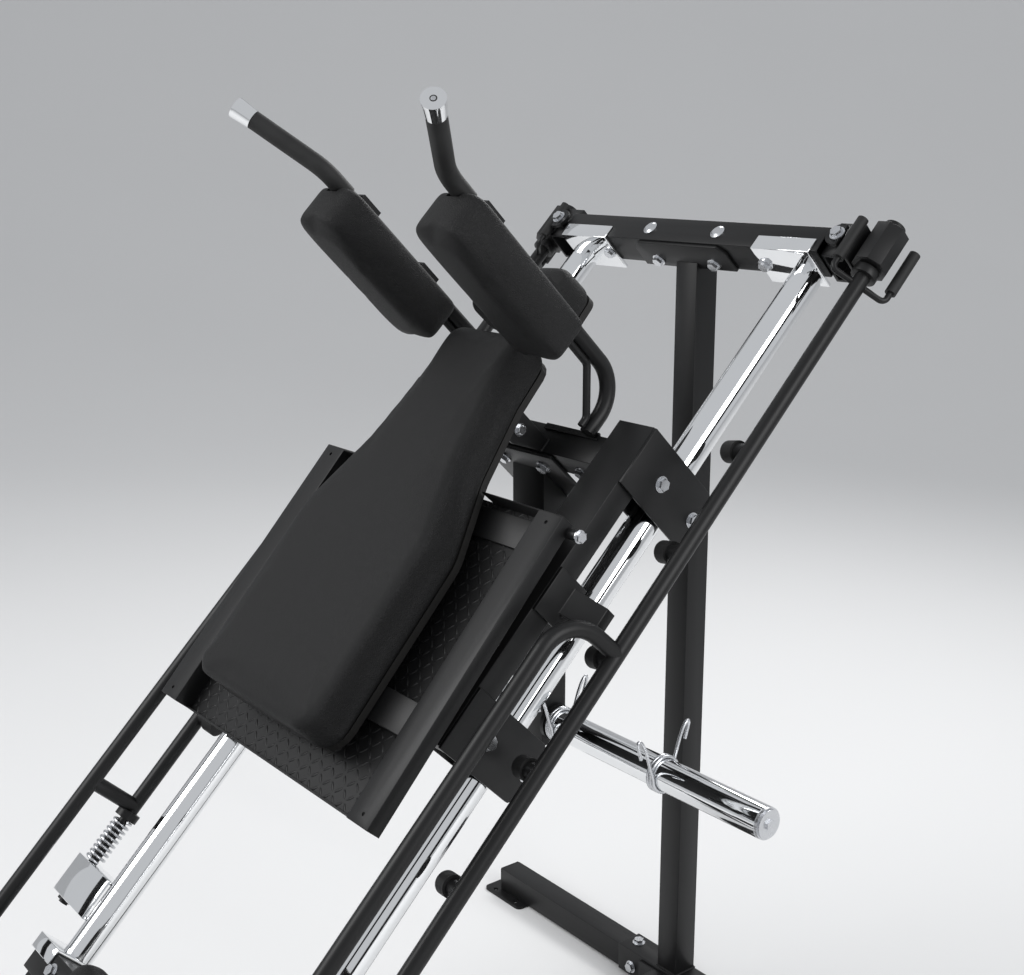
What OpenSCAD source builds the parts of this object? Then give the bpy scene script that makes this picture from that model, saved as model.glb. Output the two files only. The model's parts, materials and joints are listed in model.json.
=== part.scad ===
// Leg press and hack squat machine with a plate-loaded carriage on two sloping guide rails.
// X runs across the machine, Y towards its high rear end, Z up. The floor is Z = 0.
// On the slope, places are [x, s, w]: s runs up the slope and w stands square to it, from the rails' axes.

/* [Guide rails] */
// Diameter of a guide rail
rail_d = 50; // [40:1:56]
// Distance of each rail's axis from the middle
rail_x = 265; // [250:1:290]
// Place of the rails' low ends on the slope
rail_s0 = 527; // [520:1:560]
// Length of a guide rail
rail_len = 1488; // [1480:1:1600]

/* [Square tubes] */
// Side of the square frame tubes
tube = 50; // [45:1:55]
// Wall of all frame tubes
wall = 3; // [2:0.5:4]
// Depth of the two cross beams, square to the slope
cross_h = 60; // [55:1:70]
// Height of the cross beams' tops over the rails' axes
cross_top = 50; // [46:1:54]
// Half length of the upper and lower cross beams
cross_half = 302; // [300:1:310]

/* [Floor frame] */
// Half length of the front and rear floor beams
floor_half = 520; // [440:5:600]
// Half length of the middle floor beam
mid_half = 340; // [300:5:400]
// Thickness of a foot plate
foot_t = 5.5; // [4:0.5:8]
// Length of a foot plate across the machine
foot_len = 123; // [110:1:140]
// Width of a foot plate
foot_w = 96; // [85:1:110]
// How far a foot plate stands out past its beam
foot_out = 35; // [25:1:45]
// Distance between foot bolt holes, both ways
foot_pitch = 70; // [60:1:80]
// Diameter of a foot bolt hole
foot_hole = 11; // [8:0.5:13]
// Distance from the middle beam forward to the front beam
front_reach = 920; // [800:10:1050]
// Place of the two uprights from the middle
upright_x = 230; // [200:5:250]

/* [Plates and bolts] */
// Thickness of the bolted joint plates
plate_t = 6; // [4:0.5:8]
// Thread diameter of the frame bolts
bolt_d = 10; // [8:1:12]
// Width of a bolt's hexagon over its corners
hex_d = 19; // [16:0.5:22]
// Height of a bolt head
hex_h = 7; // [5:0.5:9]
// Outer diameter of a washer
washer_d = 25; // [20:0.5:26]
// Thickness of a washer
washer_t = 2; // [1:0.5:3]

/* [Carriage] */
// Place of the carriage's lower end on the slope
carriage_s0 = 1078; // [1070:1:1090]
// Length of the carriage's side tubes
side_len = 546; // [530:1:560]
// Width of a side tube
side_w = 74; // [70:1:76]
// Height of a side tube
side_h = 41; // [36:1:46]
// Height of the side tubes' underside over the rails' axes
side_bottom = 72; // [72:1:76]
// Length of a roller bracket
bracket_len = 98; // [90:1:110]
// Reach of the roller brackets below the rails' axes
bracket_drop = 60; // [56:1:70]
// Place of the carriage's cross beam
beam_s0 = 1556; // [1545:1:1560]
// Height of the carriage's cross beam over the rails' axes
beam_w0 = 33; // [30:1:36]

/* [Rollers] */
// Rolling radius of a roller, at the middle of its groove
roll_r = 21; // [20:0.5:21.5]
// Largest radius of a roller
roller_r = 25; // [23:0.5:25.5]
// Width of a roller
roller_w = 44; // [38:1:46]
// Diameter of the roller axles
axle_d = 12; // [10:1:14]
// Clearance of turning shafts in their bores, on the radius
run_gap = 0.05; // [0.02:0.01:0.08]
// Distance kept between pieces that pass or seat on each other
seat_gap = 0.3; // [0.2:0.05:0.5]

/* [Weight sleeves] */
// Diameter of a weight sleeve
sleeve_d = 50; // [48:0.5:50.5]
// Distance of the sleeves' ends from the middle
sleeve_end = 516; // [450:2:560]
// Height of the sleeves' axis over the floor
sleeve_z = 679; // [650:1:720]
// Width of the tube that drops to the sleeves
drop_w = 80; // [70:1:90]
// Wire diameter of a spring collar
wire_d = 5.4; // [4.5:0.1:6]
// Place of the outer spring collars
collar_out = 300; // [260:5:330]

/* [Foot tray] */
// Half width of the tray
tray_half = 308; // [300:1:312]
// Place of the tray's lower edge on the slope
tray_s0 = 935; // [930:1:950]
// Length of the tray
tray_len = 492; // [480:1:500]
// Tilt of the tray against the rails
tray_tilt = 3.2; // [3:0.1:3.4]
// Depth of the tray
tray_depth = 33; // [30:1:38]
// Width of the tray's top flanges
tray_flange = 48; // [40:1:52]
// Thickness of the tray's sheet
sheet = 3; // [2:0.5:4]

/* [Back pad and head pad] */
// Thickness of the pad boards
board_t = 12; // [10:1:15]
// Thickness of the back pad
pad_t = 76; // [60:1:85]
// Half width of the back pad's lower part
pad_half = 172; // [160:1:180]
// Half width of the back pad's neck
neck_half = 94; // [78:1:95]
// Length of the back pad
pad_len = 683; // [670:1:683]
// Half width of the head pad
head_half = 100; // [85:1:110]
// Length of the head pad
head_len = 105; // [90:1:115]

/* [Shoulder pads and handles] */
// Place of each shoulder pad's middle
shoulder_x = 156; // [150:1:160]
// Width of a shoulder pad
shoulder_w = 114; // [90:1:116]
// Height of a shoulder pad
shoulder_h = 285; // [260:1:290]
// Thickness of a shoulder pad
shoulder_t = 76; // [60:1:80]
// Diameter of the shoulder tubes
arm_d = 25; // [24:1:30]
// Diameter of the grips on the shoulder tubes
grip_d = 29; // [28:0.5:34]

/* [Safety bars] */
// Distance of each safety bar from the middle
bar_x = 378; // [372:1:390]
// Diameter of a safety bar and its handle tube
bar_d = 25; // [22:1:26]
// Height of the safety bars over the rails' axes
bar_w = 10; // [9:0.5:11]
// Distance from one catch peg to the next
peg_pitch = 184; // [175:1:186]
// Number of catch pegs on a bar
peg_count = 5; // [3:1:5]
// Diameter of a peg's rubber cap
peg_cap_d = 34; // [30:1:35]
// Reach of a peg from the bar's axis
peg_reach = 48; // [46:0.5:49]
// Height of the handle tube over its bar
handle_rise = 105; // [90:1:120]
// Place of the handle's lower end on the slope
handle_s0 = 300; // [280:5:340]
// Curls of the spring at a bar's lower end
spring_curls = 9; // [6:1:10]
// Wire diameter of that spring
spring_wire = 5; // [4:0.5:5.5]

/* [Seat and backrest] */
// Half width of the seat pad
seat_half = 125; // [110:1:140]
// Place of the seat's lower end on the slope
seat_s0 = 240; // [238:1:250]
// Length of the seat pad
seat_len = 325; // [300:1:326]
// Thickness of the seat pad
seat_t = 44; // [36:1:44]
// Half width of the backrest
back_half = 135; // [120:1:140]
// Height of the backrest pad
back_len = 660; // [560:5:680]
// Thickness of the backrest pad
back_t = 60; // [50:1:64]
// Distance of the recline slot from the hinge
recline_r = 90; // [80:1:96]
// Turn of the backrest in degrees
recline_turn = 40; // [20:5:45]

/* [Standing plates] */
// Width of a standing plate
stand_w = 180; // [150:5:200]
// Height of a standing plate
stand_h = 375; // [320:5:420]
// Distance of a standing plate's inner edge from the middle
stand_x = 150; // [145:1:160]

/* [Hidden] */
$fn = 48;

// The slope, its reading at the floor and the places that follow from the rails
slope = 45;
s_floor = 7;
root2 = sqrt(2);
rail_s1 = rail_s0 + rail_len;
cross_bottom = cross_top - cross_h;
low_s1 = rail_s0 - plate_t;
low_s0 = low_s1 - tube;
high_s0 = rail_s1 + plate_t;
high_s1 = high_s0 + tube;

// World places of the floor beams: each rear face lies under a cross beam's lowest corner
function behind(s, w) = (s - s_floor - w) / root2;
rear_y1 = behind(high_s1, cross_bottom);
rear_y0 = rear_y1 - tube;
mid_y1 = behind(low_s1, cross_bottom);
mid_y0 = mid_y1 - tube;
front_y0 = mid_y0 - front_reach;
front_y1 = front_y0 + tube;
floor_z0 = foot_t;
floor_z1 = foot_t + tube;
foot_side = (foot_w - tube) / 2;

// Place of the safety bars' parts
bar_top = high_s1 + 33;
block_s0 = high_s0 + 7;
block_s1 = bar_top - 4;
bar_s0 = 735;
bracket_s0 = 577;
bracket_s1 = 646;
bar_bracket_t = 5;
shaft_r = 8;
peg_s0 = 939;
peg_droop = 15;
stop_s = high_s0 - 26;
stop_leg = [-30, 37];
stop_rod_r = 5;
stop_sleeve_r = 9;
stop_sleeve_s1 = bar_top - 12;

// The bounding box's middle along Y
box_y0 = front_y0 - foot_side;
box_y1 = max(rear_y1 + foot_side, behind(stop_sleeve_s1, bar_w - stop_leg[1] - stop_sleeve_r));
y_mid = (box_y0 + box_y1) / 2;

// Carriage
side_x0 = rail_x - 45;
side_x1 = side_x0 + side_w;
side_top = side_bottom + side_h;
side_s1 = carriage_s0 + side_len;
plate_out = side_x1;
plate_in = rail_x - max(rail_d, roller_w) / 2 - 1 - plate_t;
roller_w_axis = rail_d / 2 + roll_r;
bracket_low_s = carriage_s0 - 3;
bracket_high_s = side_s1 - bracket_len - 1;
roller_low_s = bracket_low_s + 48;
roller_high_s = bracket_high_s + 46;
beam_s1 = beam_s0 + tube;
beam_w1 = beam_w0 + tube;
lug_s0 = peg_s0 + 2 * peg_pitch + peg_cap_d / 2 + seat_gap;
lug_len = 42;
lug_x0 = 318;
lug_x1 = 345;
lug_w0 = bar_w + 11.2;
drop_s = beam_s0 - plate_t;
sleeve_y = behind(beam_s0, 2) - 1;

// Tray and pads have frames of their own, tilted against the rails
tray_w0 = 112;
pad_s0 = 985;
pad_w0 = 134;
pad_tilt = tray_tilt;
function tray_at(s, n) = tray_w0 + (s - tray_s0) * tan(tray_tilt) + n / cos(tray_tilt);
function pad_at(s, n) = pad_w0 + (s - pad_s0) * tan(pad_tilt) + n / cos(pad_tilt);

// Backrest
platform_s0 = 195;
platform_s1 = platform_s0 + tube;
platform_w1 = 45;
platform_w0 = platform_w1 - tube;
hinge_s = 150;
hinge_w = 75;
pivot_r = 8;
spine = 40;
spine_t = 30;
back_s0 = hinge_s + 20;
back_w0 = 100;
ear_x = 31;
pin_r = 5;
recline_from = 50;

steel_black = "#1c1c1e";
pad_black = "#242426";
rubber_black = "#111112";
zinc = "#b9bcc0";
chrome = "#d8dade";

// Frames
module on_floor() translate([0, -y_mid, 0]) children();
module on_rails() on_floor() rotate([slope, 0, 0]) translate([0, -s_floor, 0]) children();
module on_tray() on_rails() translate([0, tray_s0, tray_w0]) rotate([tray_tilt, 0, 0]) children();
module on_pad() on_rails() translate([0, pad_s0, pad_w0]) rotate([pad_tilt, 0, 0]) children();
module both_sides() {
    children();
    mirror([1, 0, 0]) children();
}
module each_side(left) if (left) mirror([1, 0, 0]) children(); else children();

// Plain solids between two corners
module box(a, b) translate(a) cube(b - a);
module box_tube(a, b, along) {
    open = [for (k = [0:2]) k == along ? -1 : wall];
    difference() {
        box(a, b);
        box(a + open, b - open);
    }
}
module disc_x(x0, x1, r) translate([x0, 0, 0]) rotate([0, 90, 0]) cylinder(h = x1 - x0, r = r);
module disc_s(s0, s1, r) translate([0, s1, 0]) rotate([90, 0, 0]) cylinder(h = s1 - s0, r = r);
module side_profile(x0, x1) translate([x0, 0, 0]) rotate([90, 0, 90]) linear_extrude(x1 - x0) children();
module front_profile(s0, s1) translate([0, s1, 0]) rotate([90, 0, 0]) linear_extrude(s1 - s0) children();
module rounded(size, r) {
    half = size / 2 - [r, r];
    square([size[0], size[1] - 2 * r], center = true);
    square([size[0] - 2 * r, size[1]], center = true);
    for (x = [-half[0], half[0]], y = [-half[1], half[1]]) translate([x, y]) circle(r);
}

// Round rods: straight runs that lap a little into true bends, which are a hair thicker
bend_lap = 0.5;
bend_swell = 0.05;
function neat(v) = round(100 * v) / 100;
function unit(v) = v / norm(v);
function bend_cut(a, b, c, r) = r * tan(acos(unit(b - a) * unit(c - b)) / 2);
module run(a, b, r) {
    v = b - a;
    translate(a) rotate([0, acos(v[2] / norm(v)), atan2(v[1], v[0])]) cylinder(h = norm(v), r = r);
}
module run_cone(a, b, r_from, r_to) {
    v = b - a;
    translate(a) rotate([0, acos(v[2] / norm(v)), atan2(v[1], v[0])]) cylinder(h = norm(v), r1 = r_from, r2 = r_to);
}
module elbow(a, b, c, bend, r) {
    d = unit(b - a);
    e = unit(c - b);
    inward = unit(e - (d * e) * d);
    side = cross(-inward, d);
    centre = b - d * bend_cut(a, b, c, bend) + inward * bend;
    multmatrix([
        [-inward[0], d[0], side[0], centre[0]],
        [-inward[1], d[1], side[1], centre[1]],
        [-inward[2], d[2], side[2], centre[2]],
        [0, 0, 0, 1]
    ])
        rotate_extrude(angle = acos(d * e)) translate([bend, 0]) circle(r);
}
module rod(path, bend, r) {
    last = len(path) - 1;
    for (i = [0:last - 1]) {
        d = unit(path[i + 1] - path[i]);
        from = i == 0 ? 0 : bend_cut(path[i - 1], path[i], path[i + 1], bend) - bend_lap;
        to = i == last - 1 ? 0 : bend_cut(path[i], path[i + 1], path[i + 2], bend) - bend_lap;
        run(path[i] + d * from, path[i + 1] - d * to, r);
    }
    for (i = [1:1:last - 1]) elbow(path[i - 1], path[i], path[i + 1], bend, r + bend_swell);
}

// Wound wire: a six-sided tube swept along points, held square to one reference direction
function wire_ring(path, i, ref, r) = let(
        a = path[max(i - 1, 0)],
        b = path[min(i + 1, len(path) - 1)],
        t = unit(b - a),
        n = unit(ref - (ref * t) * t),
        m = cross(t, n)
    ) [for (k = [0:5]) path[i] + r * (cos(60 * k) * n + sin(60 * k) * m)];
function wire_faces(count) = concat(
        [for (k = [1:4]) [0, k + 1, k]],
        [for (k = [1:4]) [6 * count - 6, 6 * count - 6 + k, 6 * count - 5 + k]],
        [for (i = [0:count - 2], k = [0:5]) let(a = 6 * i + k, b = 6 * i + (k + 1) % 6) [a, b, a + 6]],
        [for (i = [0:count - 2], k = [0:5]) let(a = 6 * i + k, b = 6 * i + (k + 1) % 6) [b, b + 6, a + 6]]
    );
module wire(path, ref, r) {
    rings = [for (i = [0:len(path) - 1]) each wire_ring(path, i, ref, r)];
    polyhedron(points = rings, faces = wire_faces(len(path)));
}
function least_gap(path, apart, r) = min([
        for (i = [0:len(path) - 1], j = [i + apart:1:len(path) - 1]) norm(path[i] - path[j]) - 2 * r
    ]);

// Cushions: rings of one outline, drawn in towards the seams and crowned in the middle
function turn2(v, angle) = [v[0] * cos(angle) - v[1] * sin(angle), v[0] * sin(angle) + v[1] * cos(angle)];
function corner_arc(p, c, q, r, n) = let(
        a = unit(p - c),
        b = unit(q - c),
        half = acos(a * b) / 2,
        centre = c + unit(a + b) * r / sin(half),
        from = c + a * r / tan(half) - centre,
        sweep = (cross(a, b) > 0 ? -1 : 1) * (180 - 2 * half)
    ) [for (k = [0:n]) centre + turn2(from, sweep * k / n)];
function outline(corners, radii, n) = let(m = len(corners)) [
        for (i = [0:m - 1])
            each corner_arc(corners[(i + m - 1) % m], corners[i], corners[(i + 1) % m], radii[i], n)
    ];
function inset(pts, d) = let(m = len(pts)) [
        for (i = [0:m - 1]) let(t = unit(pts[(i + 1) % m] - pts[(i + m - 1) % m])) pts[i] + d * [-t[1], t[0]]
    ];
function cushion_rings(h) = [
        [5, 0], [1.5, 0.07 * h], [0, 0.24 * h], [1.5, 0.5 * h], [0, 0.77 * h], [3, 0.9 * h],
        [9, 0.97 * h], [22, h]
    ];
module cushion(pts, h, crown, middle) {
    rings = cushion_rings(h);
    m = len(pts);
    points = concat(
        [for (ring = rings, p = inset(pts, ring[0])) [p[0], p[1], ring[1]]],
        [[middle[0], middle[1], 0], [middle[0], middle[1], h + crown]]
    );
    low = len(points) - 2;
    faces = concat(
        [for (i = [0:m - 1]) [low, i, (i + 1) % m]],
        [for (i = [0:m - 1]) let(a = (len(rings) - 1) * m) [low + 1, a + (i + 1) % m, a + i]],
        [for (j = [0:len(rings) - 2], i = [0:m - 1]) let(a = j * m + i, b = j * m + (i + 1) % m) [a, a + m, b]],
        [for (j = [0:len(rings) - 2], i = [0:m - 1]) let(a = j * m + i, b = j * m + (i + 1) % m) [b, a + m, b + m]]
    );
    polyhedron(points = points, faces = faces);
}
function rectangle(half, length) = [[-half, 0], [half, 0], [half, length], [-half, length]];

// A hexagon bolt with its washer: the head stands on z = 0 and the shank runs down
module bolt(shank) {
    cylinder(h = washer_t, d = washer_d);
    translate([0, 0, washer_t]) cylinder(h = hex_h, d = hex_d, $fn = 6);
    translate([0, 0, -shank]) cylinder(h = shank, d = bolt_d);
}
module button_bolt(shank) {
    cylinder(h = 2, d = 26);
    translate([0, 0, 2]) cylinder(h = 3, d1 = 24, d2 = 16);
    translate([0, 0, -shank]) cylinder(h = shank, d = bolt_d);
}
module bolt_hole(depth) translate([0, 0, -depth]) cylinder(h = depth + 1, d = bolt_d + 2 * run_gap);

// Bolt places of the fixed frame, each facing away from its seat
face_bolts = [[66, 6], [-66, 6]];
module face_bolt_places() for (p = face_bolts) on_rails() translate([p[0], rail_s1, p[1]]) rotate([90, 0, 0]) children();
module rail_bolt_places() both_sides() {
    on_rails() translate([rail_x - 80, rail_s1, 16]) rotate([90, 0, 0]) children();
    on_rails() translate([rail_x - 40, low_s0 + 27, cross_top]) children();
}
module beam_button_places() for (x = [-80, 80]) on_rails() translate([x, high_s0 + 25, cross_top]) children();
module ear_bolt_places() both_sides() on_rails() translate([328, high_s0 + 32, cross_top + plate_t]) children();
module saddle_bolt_places() for (x = [-104, 104]) on_floor() {
    translate([x, rear_y0 + tube / 2, floor_z1 + plate_t]) children();
    translate([x - sign(x) * 12, rear_y0 - plate_t, foot_t + 21]) rotate([90, 0, 0]) children();
}
module upright_bolt_places() for (x = [-50, 50]) both_sides() on_floor()
    translate([upright_x + x, mid_y0 + tube / 2, floor_z1 + plate_t]) children();
shank_in = plate_t + wall;

// Floor frame
module floor_beams() color(steel_black) difference() {
    on_floor() {
        box_tube([-floor_half, rear_y0, floor_z0], [floor_half, rear_y1, floor_z1], 0);
        box_tube([-floor_half, front_y0, floor_z0], [floor_half, front_y1, floor_z1], 0);
        box_tube([-mid_half, mid_y0, floor_z0], [mid_half, mid_y1, floor_z1], 0);
    }
    saddle_bolt_places() bolt_hole(shank_in + 2);
    upright_bolt_places() bolt_hole(shank_in + 2);
}

module foot_plate() difference() {
    linear_extrude(foot_t) rounded([foot_len, foot_w], 12);
    for (x = [-1, 1], y = [-1, 1])
        translate([x, y, 0] * foot_pitch / 2 + [0, 0, -1]) cylinder(h = foot_t + 2, d = foot_hole);
}
module foot_plates() color(steel_black) on_floor() both_sides()
    for (y = [rear_y0, front_y0]) translate([floor_half + foot_out - foot_len / 2, y + tube / 2, 0]) foot_plate();

end_flange = [65, 0, 25];
module centre_beam(y0, y1) {
    box_tube([-tube / 2, y0 + plate_t, floor_z0], [tube / 2, y1 - plate_t, floor_z1], 1);
    for (y = [y0, y1 - plate_t]) box([-end_flange[0], y, floor_z0], [end_flange[0], y + plate_t, floor_z1]);
}
module centre_beams() color(steel_black) on_floor() {
    centre_beam(mid_y1, rear_y0 - plate_t);
    centre_beam(front_y1, mid_y0);
}

module floor_plug(half) {
    translate([half, 0, 0]) rotate([90, 0, 90]) linear_extrude(3) rounded([tube, tube], 3);
    box([half - 14, -tube / 2 + wall + seat_gap, -tube / 2 + wall + seat_gap],
        [half, tube / 2 - wall - seat_gap, tube / 2 - wall - seat_gap]);
}
module floor_plugs() color(rubber_black) on_floor() both_sides() {
    for (y = [rear_y0, front_y0]) translate([0, y + tube / 2, floor_z0 + tube / 2]) floor_plug(floor_half);
    translate([0, mid_y0 + tube / 2, floor_z0 + tube / 2]) floor_plug(mid_half);
}

// A post whose head is cut to fit under and in front of a tilted cross beam
module mitred_post(y0, z0, s_face, w_under, capped = false) {
    climb = (s_face - s_floor) * root2;
    drop = w_under * root2;
    y_notch = (climb - drop) / 2;
    difference() {
        side_profile(-tube / 2, tube / 2) polygon([
            [y0, z0], [y0 + tube, z0], [y0 + tube, y0 + tube + drop], [y_notch, y_notch + drop],
            [y0, climb - y0]
        ]);
        box([-tube / 2 + wall, y0 + wall, z0 - 1],
            [tube / 2 - wall, y0 + tube - wall, capped ? y_notch + drop - tube : climb]);
    }
}
module rear_post() color(steel_black) on_floor() mitred_post(rear_y0, floor_z1 + plate_t, rail_s1, cross_bottom);

module front_uprights() color(steel_black) on_floor() both_sides() translate([upright_x, 0, 0]) {
    mitred_post(mid_y0, floor_z1 + plate_t, low_s0, cross_bottom);
    difference() {
        box([-72, mid_y0, floor_z1], [72, mid_y1, floor_z1 + plate_t]);
        for (x = [-50, 50]) translate([x, mid_y0 + tube / 2, floor_z1 + plate_t]) bolt_hole(plate_t + 1);
    }
}

// The plate under the rear post's foot and the one on the upper cross beam's lower face
saddle_half = 130;
face_half = 108;
module joint_plates() color(steel_black) difference() {
    union() {
        on_floor() {
            box([-saddle_half, rear_y0 - plate_t, floor_z1], [saddle_half, rear_y1, floor_z1 + plate_t]);
            box([-saddle_half, rear_y0 - plate_t, floor_z0], [saddle_half, rear_y0, floor_z1 + plate_t]);
        }
        on_rails() front_profile(rail_s1, high_s0) polygon([
            [-face_half, cross_bottom], [face_half, cross_bottom], [face_half, cross_top - 18],
            [face_half - 15, cross_top - 3], [15 - face_half, cross_top - 3], [-face_half, cross_top - 18]
        ]);
    }
    saddle_bolt_places() bolt_hole(shank_in);
    face_bolt_places() bolt_hole(shank_in);
}

module upper_crossbeam() color(steel_black) difference() {
    on_rails() box_tube([-cross_half, high_s0, cross_bottom], [cross_half, high_s1, cross_top], 0);
    face_bolt_places() bolt_hole(plate_t + wall + 2);
    rail_bolt_places() bolt_hole(plate_t + wall + 2);
    beam_button_places() bolt_hole(wall + 2);
}
module lower_crossbeam() color(steel_black) difference() {
    on_rails() box_tube([-cross_half, low_s0, cross_bottom], [cross_half, low_s1, cross_top], 0);
    rail_bolt_places() bolt_hole(wall + 2);
}

// Angle brackets that close the rails' ends and are bolted to the cross beams
bracket_in = 91;
bracket_out = 27;
module rail_end_brackets() color(zinc) difference() {
    both_sides() on_rails() {
        box([rail_x - bracket_in, rail_s1, -rail_d / 2 - 2], [rail_x + bracket_out, high_s0, cross_top + 4]);
        box([rail_x - bracket_in, rail_s1, cross_top], [rail_x + bracket_out, high_s0 + 22, cross_top + 4]);
        box([rail_x - 24, low_s1, -rail_d / 2 - 2], [rail_x + 46, rail_s0, cross_top + 4]);
        box([rail_x - 24, low_s0 + 30, cross_top], [rail_x + 46, rail_s0, cross_top + 4]);
    }
    rail_bolt_places() bolt_hole(shank_in);
}

module guide_rails() color(chrome) on_rails() both_sides()
    translate([rail_x, 0, 0]) disc_s(rail_s0, rail_s1, rail_d / 2);

// The low platform: a beam on a short post, tied to the lower cross beam by the seat's rails
seat_rail_x = 60;
stub_x = upright_x + tube / 2 + 1;
module platform_frame() color(steel_black) {
    on_floor() mitred_post(behind(platform_s1, platform_w0) - tube, floor_z1, platform_s0, platform_w0, true);
    on_rails() {
        box_tube([-stand_x - stand_w, platform_s0, platform_w0], [stand_x + stand_w, platform_s1, platform_w1], 0);
        both_sides() {
            box_tube([seat_rail_x, platform_s1, 20], [seat_rail_x + 40, low_s0, cross_top], 1);
            box_tube([stub_x, platform_s1, 0], [stub_x + 40, low_s0, 40], 1);
            box_tube([stand_x + stand_w / 2 - 15, platform_s0 - 30, platform_w0],
                [stand_x + stand_w / 2 + 15, platform_s0, platform_w1 + stand_h - 30], 2);
            box([seat_rail_x, platform_s0, platform_w1], [seat_rail_x + 40, platform_s1, cross_top]);
        }
        hinge_ears();
    }
}
function recline_at(angle) = recline_r * [-sin(angle), cos(angle)];
module ring_sector(r, half_w, from, to) {
    intersection() {
        difference() {
            circle(r + half_w);
            circle(r - half_w);
        }
        polygon([[0, 0], 2 * r * [-sin(from), cos(from)], 2 * r * [-sin((from + to) / 2), cos((from + to) / 2)],
            2 * r * [-sin(to), cos(to)]]);
    }
    for (a = [from, to]) rotate(a) translate([0, r]) circle(half_w + bend_swell);
}
module hinge_ear(x0, with_slot) difference() {
    side_profile(x0, x0 + plate_t) difference() {
        union() {
            polygon([
                [platform_s0, platform_w0], [platform_s0, platform_w1], [hinge_s + 12, hinge_w + 14],
                [hinge_s - 17, hinge_w - 7]
            ]);
            translate([hinge_s, hinge_w]) {
                circle(22);
                if (with_slot) {
                    ring_sector(recline_r, 14, recline_from, recline_from + recline_turn);
                    polygon([[12, 4], recline_at(recline_from), recline_at(recline_from + recline_turn), [-12, -4]]);
                }
            }
        }
        if (with_slot) translate([hinge_s, hinge_w])
            ring_sector(recline_r, pin_r + seat_gap, recline_from, recline_from + recline_turn);
    }
    translate([0, hinge_s, hinge_w]) disc_x(x0 - 1, x0 + plate_t + 1, pivot_r + run_gap);
}
module hinge_ears() {
    hinge_ear(ear_x, true);
    hinge_ear(-ear_x - plate_t, false);
}

module standing_plates() color(steel_black) on_rails() both_sides() {
    box([stand_x, platform_s0, platform_w1], [stand_x + stand_w, platform_s0 + 5, platform_w1 + stand_h]);
    box([stand_x, platform_s0, platform_w1], [stand_x + stand_w, platform_s0 + 45, platform_w1 + 5]);
}

module seat_board() color(rubber_black) on_rails() translate([0, seat_s0 + seat_len / 2, cross_top])
    linear_extrude(board_t) rounded([2 * seat_half - 16, seat_len - 16], 30);
module seat_pad() color(pad_black) on_rails() translate([0, seat_s0, cross_top + board_t])
    cushion(outline(rectangle(seat_half, seat_len), [35, 35, 35, 35], 5), seat_t - 4, 4, [0, seat_len / 2]);

module frame_bolts() color(zinc) {
    face_bolt_places() bolt(shank_in);
    rail_bolt_places() bolt(shank_in - 2);
    beam_button_places() button_bolt(wall);
    ear_bolt_places() bolt(plate_t + 12);
    saddle_bolt_places() bolt(shank_in);
    upright_bolt_places() bolt(shank_in);
    on_rails() translate([0, hinge_s, hinge_w]) {
        disc_x(-ear_x - plate_t - 2, ear_x + plate_t + 2, pivot_r);
        for (x = [-ear_x - plate_t - hex_h, ear_x + plate_t])
            translate([x, 0, 0]) rotate([0, 90, 0]) cylinder(h = hex_h, d = 24, $fn = 6);
    }
}

// Bearings of the safety bars: a channel on the cross beam's end, an ear over it and an eight-sided block
channel_top = bar_w + stop_leg[1] - stop_sleeve_r - seat_gap;
channel_x = bar_x - 27;
module bar_bearings() color(steel_black) on_rails() both_sides() difference() {
    union() {
        front_profile(high_s0 + 4, high_s1 + 20) difference() {
            polygon([
                [cross_half, -24], [channel_x, -24], [channel_x, channel_top], [cross_half, channel_top]
            ]);
            polygon([
                [cross_half + plate_t, -24 + 5], [channel_x - 5, -24 + 5], [channel_x - 5, channel_top - 5],
                [cross_half + plate_t, channel_top - 5]
            ]);
        }
        translate([0, 0, cross_top]) linear_extrude(plate_t) {
            intersection() {
                translate([328, high_s0 + 32]) circle(20.5);
                translate([300, high_s0]) square([36, 64]);
            }
        }
        translate([328, high_s0 + 32, channel_top]) cylinder(h = cross_top - channel_top, r = 9);
        translate([bar_x, 0, bar_w]) rotate([0, 22.5, 0]) translate([0, block_s1, 0])
            rotate([90, 0, 0]) cylinder(h = block_s1 - block_s0, r = 27 / cos(22.5), $fn = 8);
    }
    translate([bar_x, 0, bar_w]) disc_s(block_s0 - 1, block_s1 + 1, bar_d / 2 + run_gap);
    translate([328, high_s0 + 32, cross_top + plate_t]) bolt_hole(cross_top - channel_top + 10);
}

// Channels on the rails' outer sides that hold the bars' lower shafts
module bar_end_brackets() color(zinc) on_rails() both_sides() difference() {
    union() {
        for (s = [bracket_s0, bracket_s1 - bar_bracket_t]) front_profile(s, s + bar_bracket_t)
            polygon([[rail_x + 12, -10], [bar_x + 12, -10], [bar_x + 20, 0], [bar_x + 20, 30], [rail_x + 12, 30]]);
        box([rail_x + 12, bracket_s0, 25.5], [bar_x + 20, bracket_s1, 30]);
    }
    translate([rail_x, 0, 0]) disc_s(bracket_s0 - 1, bracket_s1 + 1, rail_d / 2 + run_gap);
    translate([bar_x, 0, bar_w]) disc_s(bracket_s0 - 1, bracket_s1 + 1, shaft_r + run_gap);
}

spring_r = 14.5;
spring_s0 = bracket_s1 + seat_gap + spring_wire / 2;
spring_s1 = bar_s0 - 4 - seat_gap - spring_wire / 2;
spring_path = [
    for (i = [0:8 * spring_curls])
        [spring_r * cos(45 * i), spring_s0 + (spring_s1 - spring_s0) * i / (8 * spring_curls), spring_r * sin(45 * i)]
];
module bar_springs() color(zinc) on_rails() both_sides()
    translate([bar_x, 0, bar_w]) wire(spring_path, [0, 1, 0], spring_wire / 2);
echo(bar_spring_gap = least_gap(spring_path, 6, spring_wire / 2));

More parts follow.
